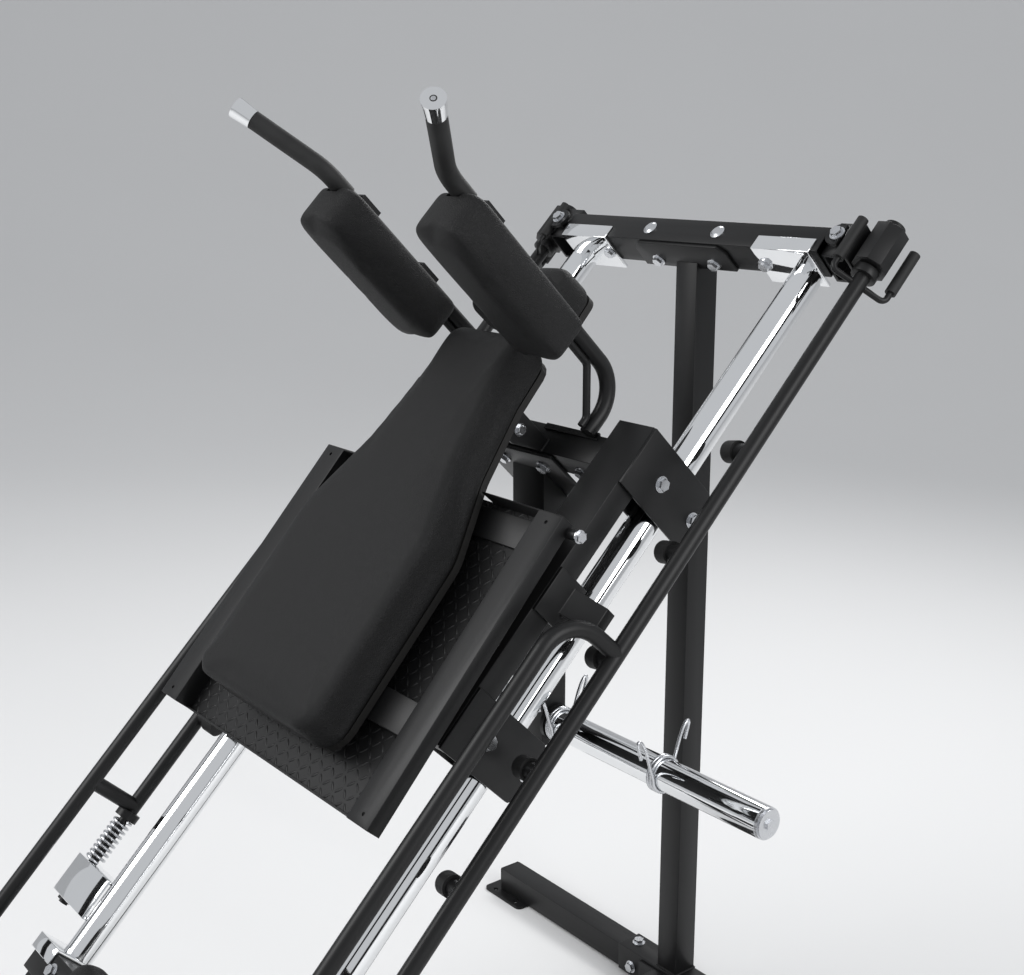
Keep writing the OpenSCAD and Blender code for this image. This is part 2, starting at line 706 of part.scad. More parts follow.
// Carriage frame
module side_tubes() color(steel_black) on_rails() both_sides() difference() {
    box([side_x0, carriage_s0, side_bottom], [side_x1, side_s1, side_top]);
    box([side_x0 + wall, carriage_s0 + wall, side_bottom + wall], [side_x1 - wall, side_s1 - wall, side_top - wall]);
    box([0, beam_s0, beam_w0], [plate_in, beam_s1, beam_w1]);
}

module axle_places() both_sides() for (s = [roller_low_s, roller_high_s], w = [-1, 1])
    on_rails() translate([0, s, w * roller_w_axis]) children();
module roller_brackets() color(steel_black) difference() {
    on_rails() both_sides() for (s = [bracket_low_s, bracket_high_s]) {
        side_profile(plate_out, plate_out + plate_t) polygon([
            [s, -bracket_drop + 12], [s + 12, -bracket_drop], [s + bracket_len - 12, -bracket_drop],
            [s + bracket_len, -bracket_drop + 12], [s + bracket_len, side_top], [s, side_top]
        ]);
        side_profile(plate_in, plate_in + plate_t) polygon([
            [s, -bracket_drop + 12], [s + 12, -bracket_drop], [s + bracket_len - 12, -bracket_drop],
            [s + bracket_len, -bracket_drop + 12], [s + bracket_len, side_bottom], [s, side_bottom]
        ]);
    }
    axle_places() disc_x(plate_in - 1, plate_out + plate_t + 1, axle_d / 2 + run_gap);
}

module beam_bolt_places() on_rails() both_sides() {
    translate([50, drop_s, 45]) rotate([90, 0, 0]) children();
    translate([140, beam_s0, 48]) rotate([90, 0, 0]) children();
}
module carriage_beam() color(steel_black) difference() {
    on_rails() box_tube([-plate_in, beam_s0, beam_w0], [plate_in, beam_s1, beam_w1], 0);
    beam_bolt_places() bolt_hole(shank_in + 4);
}

drop_half = drop_w / 2;
drop_y0 = sleeve_y - tube / 2;
drop_y1 = sleeve_y + tube / 2;
drop_z0 = sleeve_z - 40;
core_r = 15;
sleeve_wall = 6;
module drop_tube() color(steel_black) difference() {
    union() {
        on_rails() box([-95, drop_s, -43], [95, beam_s0, beam_w1 - 3]);
        on_floor() difference() {
            side_profile(-drop_half, drop_half) polygon([
                [drop_y0, drop_z0], [drop_y1, drop_z0], [drop_y1, (drop_s - s_floor) * root2 - drop_y1],
                [drop_y0, (drop_s - s_floor) * root2 - drop_y0]
            ]);
            box([-drop_half + wall, drop_y0 + wall, drop_z0 + wall], [drop_half - wall, drop_y1 - wall, sleeve_z + 800]);
        }
    }
    beam_bolt_places() bolt_hole(shank_in);
    on_floor() translate([0, sleeve_y, sleeve_z]) disc_x(-drop_half - 1, drop_half + 1, core_r + run_gap);
}

// Weight sleeves: tubes on a core through the drop tube, with a collar each side and screwed end caps
root_x = drop_half + 8;
module at_sleeves() on_floor() translate([0, sleeve_y, sleeve_z]) children();
module sleeve_roots() color(steel_black) at_sleeves() {
    disc_x(-root_x - 60, root_x + 60, core_r);
    both_sides() {
        disc_x(drop_half, root_x, sleeve_d / 2 + 6);
        disc_x(root_x, root_x + 60, sleeve_d / 2 - sleeve_wall - run_gap);
    }
}
module weight_sleeves() color(chrome) at_sleeves() both_sides() difference() {
    disc_x(root_x, sleeve_end - 8, sleeve_d / 2);
    disc_x(root_x - 1, sleeve_end, sleeve_d / 2 - sleeve_wall);
}
module sleeve_caps() color(zinc) at_sleeves() both_sides() {
    disc_x(sleeve_end - 20, sleeve_end - 8, sleeve_d / 2 - sleeve_wall - run_gap);
    disc_x(sleeve_end - 8, sleeve_end - 3, sleeve_d / 2 - 0.5);
    disc_x(sleeve_end - 3, sleeve_end, sleeve_d / 2 - 3);
    translate([sleeve_end, 0, 0]) rotate([0, 90, 0]) cylinder(h = 4, r = 9, $fn = 6);
}

// Foot tray: folded side rails and end walls round a chequered plate, on tapered supports
tray_in = tray_half - tray_flange;
end_wall_x = 126;
// The cross bars under the back pad: both edges along the pad and the height of the top
pad_bars = [[75, 127, -4], [382, 430, -14]];
module tray_frame() color(steel_black) {
    on_tray() {
        difference() {
            both_sides() tray_side_shape();
            for (t = [16, tray_len - 16], x = [-1, 1])
                translate([x * (tray_half - tray_flange / 2), t, 0]) cylinder(h = tray_depth + 1, r = 3);
        }
        box([-tray_in, 0, -2 * sheet], [tray_in, sheet, 8]);
        box([-tray_in, tray_len - sheet, -2 * sheet], [tray_in, tray_len, 0]);
        both_sides() box([end_wall_x, tray_len - sheet, -2 * sheet], [tray_in, tray_len, tray_depth]);
    }
    on_pad() for (bar = pad_bars) {
        box([-tray_in + sheet + 0.5, bar[0], bar[2] - 4], [tray_in - sheet - 0.5, bar[1], bar[2]]);
        box([-90, bar[0] + 8, bar[2]], [90, bar[1] - 8, 0]);
    }
}
module tray_side_shape() front_profile(0, tray_len) polygon([
        [tray_in - sheet - 17, -2 * sheet], [tray_in, -2 * sheet], [tray_in, tray_depth - sheet],
        [tray_half - sheet, tray_depth - sheet], [tray_half - sheet, tray_depth - 25],
        [tray_half, tray_depth - 25], [tray_half, tray_depth], [tray_in - sheet, tray_depth],
        [tray_in - sheet, -sheet], [tray_in - sheet - 17, -sheet]
    ]);
module tread_plate() color(steel_black) on_tray()
    box([-tray_in + sheet, sheet, -sheet], [tray_in - sheet, tray_len - sheet, 0]);

support_s = [carriage_s0 + 12, carriage_s0 + 332];
module tray_supports() color(steel_black) on_rails() both_sides()
    side_profile(tray_in - 20, tray_in - 4) polygon([
        [support_s[0], side_top], [support_s[1], side_top],
        [support_s[1], tray_at(support_s[1], -2 * sheet)], [support_s[0], tray_at(support_s[0], -2 * sheet)]
    ]);

// Catch lugs: a sloping plate on each side tube with a block that lands on a peg
module catch_lugs() color(steel_black) on_rails() both_sides() {
    front_profile(lug_s0, lug_s0 + lug_len) {
        polygon([
            [plate_out + plate_t, 64], [plate_out + plate_t, 72], [lug_x1, 40], [lug_x1, lug_w0],
            [lug_x0, lug_w0], [lug_x0, 51]
        ]);
    }
    box([plate_out, lug_s0 - 20, 50], [plate_out + plate_t, lug_s0 + lug_len + 10, side_top]);
}

// Boards, brackets and cushions of the back and the head
head_t0 = 705;
module pad_brackets() color(steel_black) {
    on_rails() both_sides() side_profile(64, 70) polygon([
        [beam_s0 - 26, pad_at(beam_s0 - 26, 0)], [beam_s0 - 26, pad_at(beam_s0, 0) - 30], [beam_s0, beam_w1],
        [beam_s0 + 22, beam_w1], [beam_s0 + 22, pad_at(beam_s0 + 22, 0)]
    ]);
    on_pad() box([-35, pad_len - 60, -6], [35, head_t0 + head_len - 20, 0]);
}
module back_outline_2d(half_low, half_neck, length, trim) translate([0, trim])
    polygon(outline(back_corners(half_low, half_neck, length), back_radii, 4));
back_radii = [40, 40, 90, 90, 90, 30, 30, 90, 90, 90];
function back_corners(low, neck, length) = [
        [-low, 0], [low, 0], [low, 0.47 * length], [neck + 26, 0.67 * length], [neck + 2, 0.86 * length],
        [neck, length], [-neck, length], [-neck - 2, 0.86 * length], [-neck - 26, 0.67 * length],
        [-low, 0.47 * length]
    ];
module pad_boards() color(rubber_black) on_pad() {
    linear_extrude(board_t) back_outline_2d(pad_half - 8, neck_half - 8, pad_len - 16, 8);
    translate([0, head_t0 + head_len / 2, 0]) linear_extrude(board_t)
        rounded([2 * head_half - 16, head_len - 16], 20);
}
module back_pad() color(pad_black) on_pad() translate([0, 0, board_t])
    cushion(outline(back_corners(pad_half, neck_half, pad_len), back_radii, 5),
        pad_t - 4, 4, [0, 0.4 * pad_len]);
module head_pad() color(pad_black) on_pad() translate([0, head_t0, board_t])
    cushion(outline(rectangle(head_half, head_len), [32, 32, 32, 32], 5), 68, 4, [0, head_len / 2]);

// Shoulder tubes, with a brace in each lower bend, and what they carry
arm_s = beam_s1 + 84;
arm_w0 = beam_w1 + 14;
arm_w1 = 553;
arm_end = [82, 0, 104];
arm_from = beam_s1 - 8;
arm_path = [
    [shoulder_x, arm_from, arm_w0], [shoulder_x, arm_s, arm_w0], [shoulder_x, arm_s, arm_w1],
    [shoulder_x, arm_s, arm_w1] + arm_end
];
arm_bend = 61;
arm_dir = unit(arm_path[3] - arm_path[2]);
arm_foot_t = 3.5;
brace_r = 6;
brace_w = arm_w0 + arm_d / 2 + brace_r - seat_gap;
brace_s = arm_s - arm_d / 2 - brace_r + seat_gap;
brace_run = brace_s - beam_s1 - 7;
shoulder_w0 = 242;
shoulder_back = arm_s - 3.5;
grip_w0 = 501;
module shoulder_tubes() color(steel_black) on_rails() both_sides() {
    difference() {
        rod(arm_path, arm_bend, arm_d / 2);
        run(arm_path[3] - arm_dir * 20, arm_path[3] + arm_dir, arm_d / 2 - wall);
    }
    box([46, beam_s1 - 10, beam_w1], [170, beam_s1, beam_w1 + arm_foot_t]);
    rod([
        [shoulder_x, arm_from, brace_w], [shoulder_x, beam_s1 + 7, brace_w],
        [shoulder_x, brace_s, brace_w + brace_run], [shoulder_x, brace_s, shoulder_w0 - 8]
    ], 14, brace_r);
    for (w = [292, 445]) shoulder_clip(w);
}
// A clip round the tube, which holds the pad from behind
module shoulder_clip(w) translate([shoulder_x, shoulder_back + seat_gap, w]) linear_extrude(40) difference() {
    translate([-arm_d / 2 - 4.5, 0]) square([arm_d + 9, arm_d / 2 + 6.2]);
    translate([-arm_d / 2 - 1.5, -1]) square([arm_d + 3, arm_d / 2 + 4.1]);
}
module shoulder_pads() color(pad_black) on_rails() both_sides() translate([shoulder_x, 0, 0]) difference() {
    translate([0, shoulder_back, shoulder_w0]) rotate([90, 0, 0])
        cushion(outline([
            [-shoulder_w / 2, 0], [shoulder_w / 2, 0], [shoulder_w / 2, shoulder_h], [-shoulder_w / 2, shoulder_h]
        ], [30, 30, 30, 30], 5), shoulder_t - 3, 3, [0, shoulder_h / 2]);
    tube_slot(arm_d / 2, shoulder_w0 - 1);
    tube_slot(grip_d / 2, grip_w0 - 2);
}
module tube_slot(r, from_w)
    box([-r - 0.7, arm_s - r - 0.7, from_w], [r + 0.7, shoulder_back + 1, shoulder_w0 + shoulder_h + 1]);
grip_path = [[shoulder_x, arm_s, grip_w0], arm_path[2], arm_path[3] - arm_dir * 0.5];
module shoulder_grips() color(rubber_black) on_rails() both_sides() difference() {
    rod(grip_path, arm_bend, grip_d / 2);
    rod([grip_path[0] - [0, 0, 1], grip_path[1], grip_path[2] + arm_dir], arm_bend, arm_d / 2 + run_gap);
}
module shoulder_caps() color(chrome) on_rails() both_sides() {
    run_cone(arm_path[3], arm_path[3] + arm_dir * 30, grip_d / 2 + 0.5, 17);
    run(arm_path[3] + arm_dir * 30, arm_path[3] + arm_dir * 33, 17);
    run(arm_path[3] - arm_dir * 15, arm_path[3], arm_d / 2 - wall - run_gap);
}

module carriage_bolts() color(zinc) {
    axle_places() {
        disc_x(plate_in - 2, plate_out + plate_t + 2, axle_d / 2);
        translate([plate_out + plate_t, 0, 0]) rotate([0, 90, 0]) {
            cylinder(h = washer_t, d = washer_d);
            cylinder(h = washer_t + hex_h, d = hex_d, $fn = 6);
        }
        translate([plate_in - 7, 0, 0]) rotate([0, 90, 0]) cylinder(h = 7, d = hex_d, $fn = 6);
    }
    beam_bolt_places() bolt(shank_in);
}

// A grooved roller on its axle
module roller_body() difference() {
    rotate([0, 90, 0]) rotate_extrude() difference() {
        translate([axle_d / 2 + run_gap, -roller_w / 2]) square([roller_r - axle_d / 2 - run_gap, roller_w]);
        translate([roller_w_axis, 0]) circle(rail_d / 2 + seat_gap);
    }
}
module roller(left, s, under) color(rubber_black) on_rails() each_side(left)
    translate([rail_x, s, under ? -roller_w_axis : roller_w_axis]) roller_body();

// Safety bars: a bar with catch pegs, a handle tube beside it, a lower shaft and a stop rod
handle_lean = 9.7;
handle_r = neat(handle_rise / cos(handle_lean));
handle_s1 = peg_s0 + 2 * peg_pitch + 11;
handle_cross = bar_s0 + 20;
stop_r = neat(norm(stop_leg));
stop_lean = atan(-stop_leg[1] / stop_leg[0]);
module peg_axis(k) translate([bar_x, peg_s0 + k * peg_pitch, bar_w]) rotate([0, -peg_droop - 90, 0]) children();
module safety_bar() color(steel_black) {
    translate([bar_x, 0, bar_w]) {
        disc_s(bar_s0, bar_top, bar_d / 2);
        disc_s(bar_top - 3.7, bar_top + 8, 17);
        disc_s(bar_s0 - 4, bar_s0 + 10, 20);
        disc_s(bracket_s0 - 10, bar_s0, shaft_r);
        disc_s(bracket_s0 - 6, bracket_s0 - seat_gap, 13);
        rotate([0, -handle_lean, 0]) {
            rod([[0, handle_s1, 0], [0, handle_s1, handle_r], [0, handle_s0, handle_r]], 62, bar_d / 2);
            run([0, handle_cross, 0], [0, handle_cross, handle_r], bar_d / 2);
        }
        rotate([0, stop_lean, 0]) rod([
            [-stop_r, stop_sleeve_s1 - 2, 0], [-stop_r, stop_s, 0], [stop_r, stop_s, 0], [stop_r, stop_sleeve_s1 - 2, 0]
        ], 10, stop_rod_r);
    }
    for (k = [0:peg_count - 1]) peg_axis(k) cylinder(h = peg_reach - 4, r = bar_d / 2);
}
module bar_rubbers() color(rubber_black) {
    for (k = [0:peg_count - 1]) peg_axis(k) difference() {
        translate([0, 0, peg_reach - 24]) cylinder(h = 24, d = peg_cap_d);
        cylinder(h = peg_reach - 3.9, r = bar_d / 2 + run_gap);
    }
    translate([bar_x, 0, bar_w]) {
        rotate([0, stop_lean, 0]) for (x = [-stop_r, stop_r]) translate([x, 0, 0]) difference() {
            disc_s(stop_sleeve_s1 - 78, stop_sleeve_s1, stop_sleeve_r);
            disc_s(stop_sleeve_s1 - 79, stop_sleeve_s1 - 2, stop_rod_r + run_gap);
        }
        rotate([0, -handle_lean, 0]) translate([0, 0, handle_r]) difference() {
            disc_s(handle_s0 - 4, handle_s0 + 130, bar_d / 2 + 4);
            disc_s(handle_s0, handle_s0 + 131, bar_d / 2 + run_gap);
        }
    }
}

// Backrest: a spine that turns on the platform's ears, its board and cushion, and the knob that clamps it
module backrest_frame() color(steel_black) on_rails() difference() {
    union() {
        translate([0, hinge_s, hinge_w]) disc_x(-ear_x + seat_gap, ear_x - seat_gap, 16);
        box_tube([-spine / 2, hinge_s - 22, hinge_w], [spine / 2, hinge_s + 8, back_w0 + back_len - 60], 2);
        box([-spine / 2, hinge_s - 22, hinge_w], [spine / 2, hinge_s + 8, hinge_w + recline_r - 20]);
        box([-110, hinge_s + 8 - plate_t, back_w0 + 80], [110, hinge_s + 8, back_w0 + 120]);
        box([-110, hinge_s + 8 - plate_t, back_w0 + back_len - 110], [110, hinge_s + 8, back_w0 + back_len - 70]);
        translate([0, hinge_s, hinge_w]) translate([0, recline_at(recline_from)[0], recline_at(recline_from)[1]]) {
            disc_x(-spine / 2, ear_x - seat_gap, 11);
            box([-spine / 2, 0, -11], [spine / 2, 55, 11]);
        }
    }
    translate([0, hinge_s, hinge_w]) {
        disc_x(-ear_x, ear_x, pivot_r + run_gap);
        rotate([recline_from, 0, 0]) translate([0, 0, recline_r]) disc_x(-40, 40, pin_r + run_gap);
    }
}
module backrest_pad() on_rails() {
    color(rubber_black) box([-back_half + 8, hinge_s + 8, back_w0 + 8], [back_half - 8, back_s0, back_w0 + back_len - 8]);
    color(pad_black) translate([0, back_s0, back_w0]) rotate([90, 0, 180])
        cushion(outline(rectangle(back_half, back_len), [40, 40, 40, 40], 5), back_t - 4, 4, [0, back_len / 2]);
}
module recline_knob() color(rubber_black) on_rails() translate([0, hinge_s, hinge_w]) rotate([recline_from, 0, 0])
    translate([0, 0, recline_r]) {
        disc_x(-spine / 2, ear_x + plate_t + 4, pin_r);
        disc_x(ear_x + plate_t + seat_gap, ear_x + plate_t + 12, 12);
        translate([ear_x + plate_t + 12, 0, 0]) rotate([0, 90, 0]) difference() {
            cylinder(h = 18, r = 22);
            for (k = [0:5]) rotate(60 * k) translate([27, 0, -1]) cylinder(h = 20, r = 9);
        }
    }

// A spring collar: two and a half turns of wire between two upright legs with looped ends
coil_r = sleeve_d / 2 + wire_d / 2 + 1.05;
coil_pitch = wire_d + 0.9;
coil_turns = 2.5;
coil_steps = 16;
leg_shape = [[44, -1], [62, 1], [70, 6], [62, 11], [40, 12]];
coil_points = [
    for (i = [0:coil_steps * coil_turns]) let(a = 90 + 360 * i / coil_steps)
        [coil_pitch * (i / coil_steps - coil_turns / 2), coil_r * sin(a), coil_r * cos(a)]
];
function leg(start, lean) = [for (p = leg_shape) start + [0, lean * (p[0] * 0.35 + p[1]), p[0]]];
function backwards(pts) = [for (i = [len(pts) - 1:-1:0]) pts[i]];
collar_wire = concat(
    backwards(leg(coil_points[0], 1)), coil_points, leg(coil_points[len(coil_points) - 1], -1)
);
collar_in = root_x + coil_pitch * coil_turns / 2 + wire_d / 2 + 1;
module collar(left, x) color(zinc) at_sleeves() each_side(left) translate([x, 0, 0])
    wire(collar_wire, [1, 0, 0], wire_d / 2);
echo(collar_gap = least_gap(coil_points, 12, wire_d / 2));

floor_beams();
foot_plates();
centre_beams();
floor_plugs();
rear_post();
joint_plates();
upper_crossbeam();
rail_end_brackets();
guide_rails();
lower_crossbeam();
front_uprights();
platform_frame();
standing_plates();
seat_board();
seat_pad();
frame_bolts();
bar_bearings();
bar_end_brackets();
bar_springs();
side_tubes();
roller_brackets();
carriage_beam();
drop_tube();
sleeve_roots();
weight_sleeves();
sleeve_caps();
tray_frame();
tread_plate();
tray_supports();
catch_lugs();
pad_brackets();
pad_boards();
back_pad();
head_pad();
shoulder_pads();
shoulder_tubes();
shoulder_grips();
shoulder_caps();
carriage_bolts();
roller(true, roller_high_s, false);  // roller_high_left_top
roller(true, roller_high_s, true);  // roller_high_left_under
roller(false, roller_high_s, false);  // roller_high_right_top
roller(false, roller_high_s, true);  // roller_high_right_under
roller(true, roller_low_s, false);  // roller_low_left_top
roller(true, roller_low_s, true);  // roller_low_left_under
roller(false, roller_low_s, false);  // roller_low_right_top
roller(false, roller_low_s, true);  // roller_low_right_under
on_rails() each_side(true) safety_bar();  // safety_bar_left
on_rails() each_side(false) safety_bar();  // safety_bar_right
on_rails() each_side(true) bar_rubbers();  // bar_rubbers_left
on_rails() each_side(false) bar_rubbers();  // bar_rubbers_right
backrest_frame();
backrest_pad();
recline_knob();
collar(true, collar_in);  // collar_left_inner
collar(true, collar_out);  // collar_left_outer
collar(false, collar_in);  // collar_right_inner
collar(false, collar_out);  // collar_right_outer
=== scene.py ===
"""Looks of a leg press and hack squat machine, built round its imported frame."""
import json
import math
from random import Random

import bmesh
import bpy
from mathutils import Matrix, Vector


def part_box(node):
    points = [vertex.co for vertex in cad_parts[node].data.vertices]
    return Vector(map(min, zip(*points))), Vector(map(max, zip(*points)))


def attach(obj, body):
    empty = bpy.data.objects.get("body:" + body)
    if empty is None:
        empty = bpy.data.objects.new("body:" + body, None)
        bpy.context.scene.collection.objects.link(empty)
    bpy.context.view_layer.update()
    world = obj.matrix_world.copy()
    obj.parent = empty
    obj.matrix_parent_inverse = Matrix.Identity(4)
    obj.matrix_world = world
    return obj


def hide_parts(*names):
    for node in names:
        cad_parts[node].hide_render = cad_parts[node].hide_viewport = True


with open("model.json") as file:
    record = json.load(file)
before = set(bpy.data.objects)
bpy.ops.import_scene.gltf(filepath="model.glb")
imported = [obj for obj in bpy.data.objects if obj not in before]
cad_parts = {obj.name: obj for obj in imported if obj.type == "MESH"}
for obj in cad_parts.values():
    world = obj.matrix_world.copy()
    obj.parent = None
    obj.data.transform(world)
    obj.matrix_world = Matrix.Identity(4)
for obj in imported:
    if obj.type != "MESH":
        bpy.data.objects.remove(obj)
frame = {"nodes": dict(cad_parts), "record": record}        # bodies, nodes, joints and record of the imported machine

bl_info = {
    "name": "Leg press and hack squat machine",
    "version": (1, 0, 0),
    "blender": (4, 5, 0),
    "location": "3D View > Sidebar > Machine",
    "description": "Cushions, finishes and small parts of a leg press and hack squat machine",
    "category": "Add Mesh",
}

MM = 0.001
ROOT2 = math.sqrt(2)
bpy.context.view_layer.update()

# The slope's own places are x across the machine, s up the rails and w square to them.
RAIL_LOW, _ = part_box("guide_rails")
SLOPE_FOOT = Vector((0, RAIL_LOW.y - RAIL_LOW.z, 0))    # where the rails' axes meet the floor, in m
SLOPE_DATUM = 7.0                                       # s of that point

# Places and sizes shared with the CAD part, in mm, and tilts in degrees
BOTH = (1, -1)
SIDES = (("right", 1), ("left", -1))
PAD_S, PAD_W, PAD_TILT = 985, 134, 3.2                  # lower edge of the back pad's board
TRAY_S, TRAY_W = 935, 112                               # lower edge of the foot tray's face
TREAD_MIDDLE = 246                                      # of the lugs, up the tray
BOARD = 12                                              # thickness of the cushions' boards
BACK_HALF, BACK_NECK, BACK_LENGTH, BACK_HEIGHT = 172, 94, 683, 76
BACK_CORNER_RADII = [40, 40, 90, 90, 90, 30, 30, 90, 90, 90]
HEAD_T = 705                                            # the head pad's lower edge, up the board
SHOULDER_X, SHOULDER_BACK, SHOULDER_W = 156, 1686.5, 242
SHOULDER_SLOTS = [(13.2, -5, 9.7), (15.2, 257, 11.7)]   # half width, lower end and depth of each
ARM_S, ARM_TOP_W, ARM_END = 1690, 553, Vector((82, 0, 104))
CAP_END = 33                                            # from the arm's end to its cap's face
BAR_X, BAR_W = 378, 10                                  # axes of the safety bars
SLEEVE_RADIUS = 25                                      # of the weight sleeves

# Lower edges of the seat pad, the backrest pad and the backrest's board, as (x, s, w)
SEAT_PLACE, BACKREST_PLACE, BACKREST_BOARD_PLACE = (0, 240, 62), (0, 170, 100), (0, 158, 108)

# Half width, length, corner radius and height of the rectangular cushions
HEAD_SIZE = (100, 105, 32, 72)
SHOULDER_SIZE = (57, 285, 30, 76)
SEAT_SIZE = (125, 325, 35, 44)
BACKREST_SIZE = (135, 660, 40, 60)

# Weld seams on the carriage's right half, from one end to the other, as (x, s, w)
CARRIAGE_SEAMS = [
    ((70.5, 1557, 83), (70.5, 1577, 83)),
    ((63.5, 1557, 83), (63.5, 1577, 83)),
    ((300, 1325, 64.02), (300, 1364, 64.8)),
    ((144, 1606, 86.5), (168, 1606, 86.5)),
    ((2, 1550, 79.5), (94, 1550, 79.5)),
]
RIPPLE_PITCH = 0.42                                     # of a weld bead, as a share of its width

# How the cushions are filled
CROWN = 3.0                                             # rise of a cushion's middle, in mm
SLIM = 0.6                                              # share of the swell that a pad starts smaller by
HELD = 5                                                # height of the part that the board holds, in mm
CLOTH_FRAMES = 20
SIDE_LEVEL, SIDE_RANGE = 0.80, 0.35                     # how level a face is where its border begins

# The photograph's camera, from the lines of the rails, beams and post: degrees and metres
CAMERA_AZIMUTH, CAMERA_ELEVATION = 51.6795, 13.5585
CAMERA_PLACE = (1.725, -0.76735, 1.613)


# Places on the machine

def slope(x, s, w):
    """A point given in mm across, up the slope and square to it."""
    rise = s - SLOPE_DATUM
    return SLOPE_FOOT + Vector((x, (rise - w) / ROOT2, (rise + w) / ROOT2)) * MM


def slope_frame(x, s, w, tilt=0.0):
    """The frame of a piece on the slope: X across, Y up the slope, Z off it; tilt in degrees."""
    turn = Matrix.Rotation(math.radians(45 + tilt), 4, "X")
    return Matrix.Translation(slope(x, s, w)) @ turn @ Matrix.Scale(MM, 4)


def pad_frame(t=0.0, lift=0.0):
    """The frame of a piece t mm up the back pad's board and lift mm above its underside."""
    return slope_frame(0, PAD_S, PAD_W, PAD_TILT) @ Matrix.Translation((0, t, lift))


def tray_frame():
    return slope_frame(0, TRAY_S, TRAY_W, PAD_TILT)


# Turns within a slope frame, for a pad that stands off the slope and faces down it or up it
FACING_DOWN = Matrix.Rotation(math.radians(90), 4, "X")
FACING_UP = Matrix.Rotation(math.radians(180), 4, "Z") @ FACING_DOWN


# Meshes and objects

def add_object(name, mesh, material=None):
    piece = bpy.data.objects.new(name, mesh)
    bpy.context.scene.collection.objects.link(piece)
    if material is not None:
        mesh.materials.clear()
        mesh.materials.append(material)
    return piece


def mesh_of(name, verts, faces):
    mesh = bpy.data.meshes.new(name)
    mesh.from_pydata([tuple(v) for v in verts], [], faces)
    mesh.update()
    return mesh


def smooth(mesh, degrees):
    mesh.polygons.foreach_set("use_smooth", [True] * len(mesh.polygons))
    mesh.set_sharp_from_angle(angle=math.radians(degrees))


def settle(piece, body, replaces=()):
    """Gives a finished piece its body and hides the nodes that it stands for."""
    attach(piece, body)
    if replaces:
        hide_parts(*replaces)
    return piece


def baked(piece):
    """The piece with its modifiers worked in, as a plain mesh, in place of the old one."""
    graph = bpy.context.evaluated_depsgraph_get()
    mesh = bpy.data.meshes.new_from_object(piece.evaluated_get(graph), depsgraph=graph)
    piece.modifiers.clear()
    old = piece.data
    piece.data = mesh
    mesh.name = piece.name
    if old.users == 0:
        bpy.data.meshes.remove(old)
    return piece


def modify(piece, kind, **settings):
    modifier = piece.modifiers.new(kind.title(), kind)
    for key, value in settings.items():
        setattr(modifier, key, value)
    return modifier


# Node trees

class Wire:
    """An output socket whose arithmetic adds Math nodes to its tree."""

    def __init__(self, graph, socket):
        self.graph, self.socket = graph, socket

    def _math(self, operation, *terms):
        return self.graph.node("ShaderNodeMath", {"operation": operation}, list(terms))

    def __add__(self, other):
        return self._math("ADD", self, other)

    def __sub__(self, other):
        return self._math("SUBTRACT", self, other)

    def __rsub__(self, other):
        return self._math("SUBTRACT", other, self)

    def __mul__(self, other):
        return self._math("MULTIPLY", self, other)

    def __truediv__(self, other):
        return self._math("DIVIDE", self, other)

    __radd__ = __add__
    __rmul__ = __mul__

    def between(self, low, high):
        """0 below low, 1 above high, smooth in between."""
        return self.graph.node(
            "ShaderNodeMapRange", {"interpolation_type": "SMOOTHSTEP"}, {0: self, 1: low, 2: high}
        )


class Graph:
    """A node tree whose nodes all come from one method."""

    def __init__(self, tree):
        self.tree = tree

    def node(self, kind, settings=None, sockets=None, out=0):
        made = self.tree.nodes.new(kind)
        for key, value in (settings or {}).items():
            setattr(made, key, value)
        pairs = enumerate(sockets) if isinstance(sockets, list) else (sockets or {}).items()
        for key, value in pairs:
            if isinstance(value, Wire):
                self.tree.links.new(value.socket, made.inputs[key])
            else:
                made.inputs[key].default_value = value
        return Wire(self, made.outputs[out]) if made.outputs else made


class Finish(Graph):
    """A material on a Principled shader, in Object coordinates."""

    def __init__(self, name, **constants):
        self.material = bpy.data.materials.new(name)
        self.material.use_nodes = True
        super().__init__(self.material.node_tree)
        self.shader = self.tree.nodes["Principled BSDF"]
        self.place = self.node("ShaderNodeTexCoord", out="Object")
        for key, value in constants.items():
            self.shader.inputs[key.replace("_", " ")].default_value = value

    def feed(self, socket, wire):
        self.tree.links.new(wire.socket, self.shader.inputs[socket])

    def noise(self, scale, detail=3.0):
        return self.node("ShaderNodeTexNoise", {}, {
            "Vector": self.place, "Scale": scale, "Detail": detail, "Roughness": 0.55
        })

    def cells(self, scale, feature="F1", out=0):
        sockets = {"Vector": self.place, "Scale": scale}
        return self.node("ShaderNodeTexVoronoi", {"feature": feature}, sockets, out)

    def colour(self, mask, colour, low, high):
        """Feeds Base Color with a colour whose brightness goes from low to high over a mask."""
        self.feed("Base Color", self.node("ShaderNodeMix", {"data_type": "RGBA"}, {
            0: mask, 6: tone(colour, low), 7: tone(colour, high)
        }, 2))

    def bump(self, height, distance, strength=1.0):
        self.feed("Normal", self.node(
            "ShaderNodeBump", {}, {"Height": height, "Distance": distance, "Strength": strength}
        ))


def tone(colour, factor):
    return [min(1.0, c * factor) for c in colour[:3]] + [1.0]


# Settings that a user would change

def length(name, description, default):
    return bpy.props.FloatProperty(
        name=name, description=description, default=default, unit="LENGTH", min=0.0, precision=4
    )


def shade(name, description, default):
    return bpy.props.FloatVectorProperty(
        name=name, description=description, default=default, subtype="COLOR", size=3,
        min=0.0, max=1.0
    )


def share(name, description, default, low=0.0, high=1.0):
    return bpy.props.FloatProperty(
        name=name, description=description, default=default, subtype="FACTOR", min=low, max=high
    )


def watts(name, description, default):
    return bpy.props.FloatProperty(name=name, description=description, default=default)


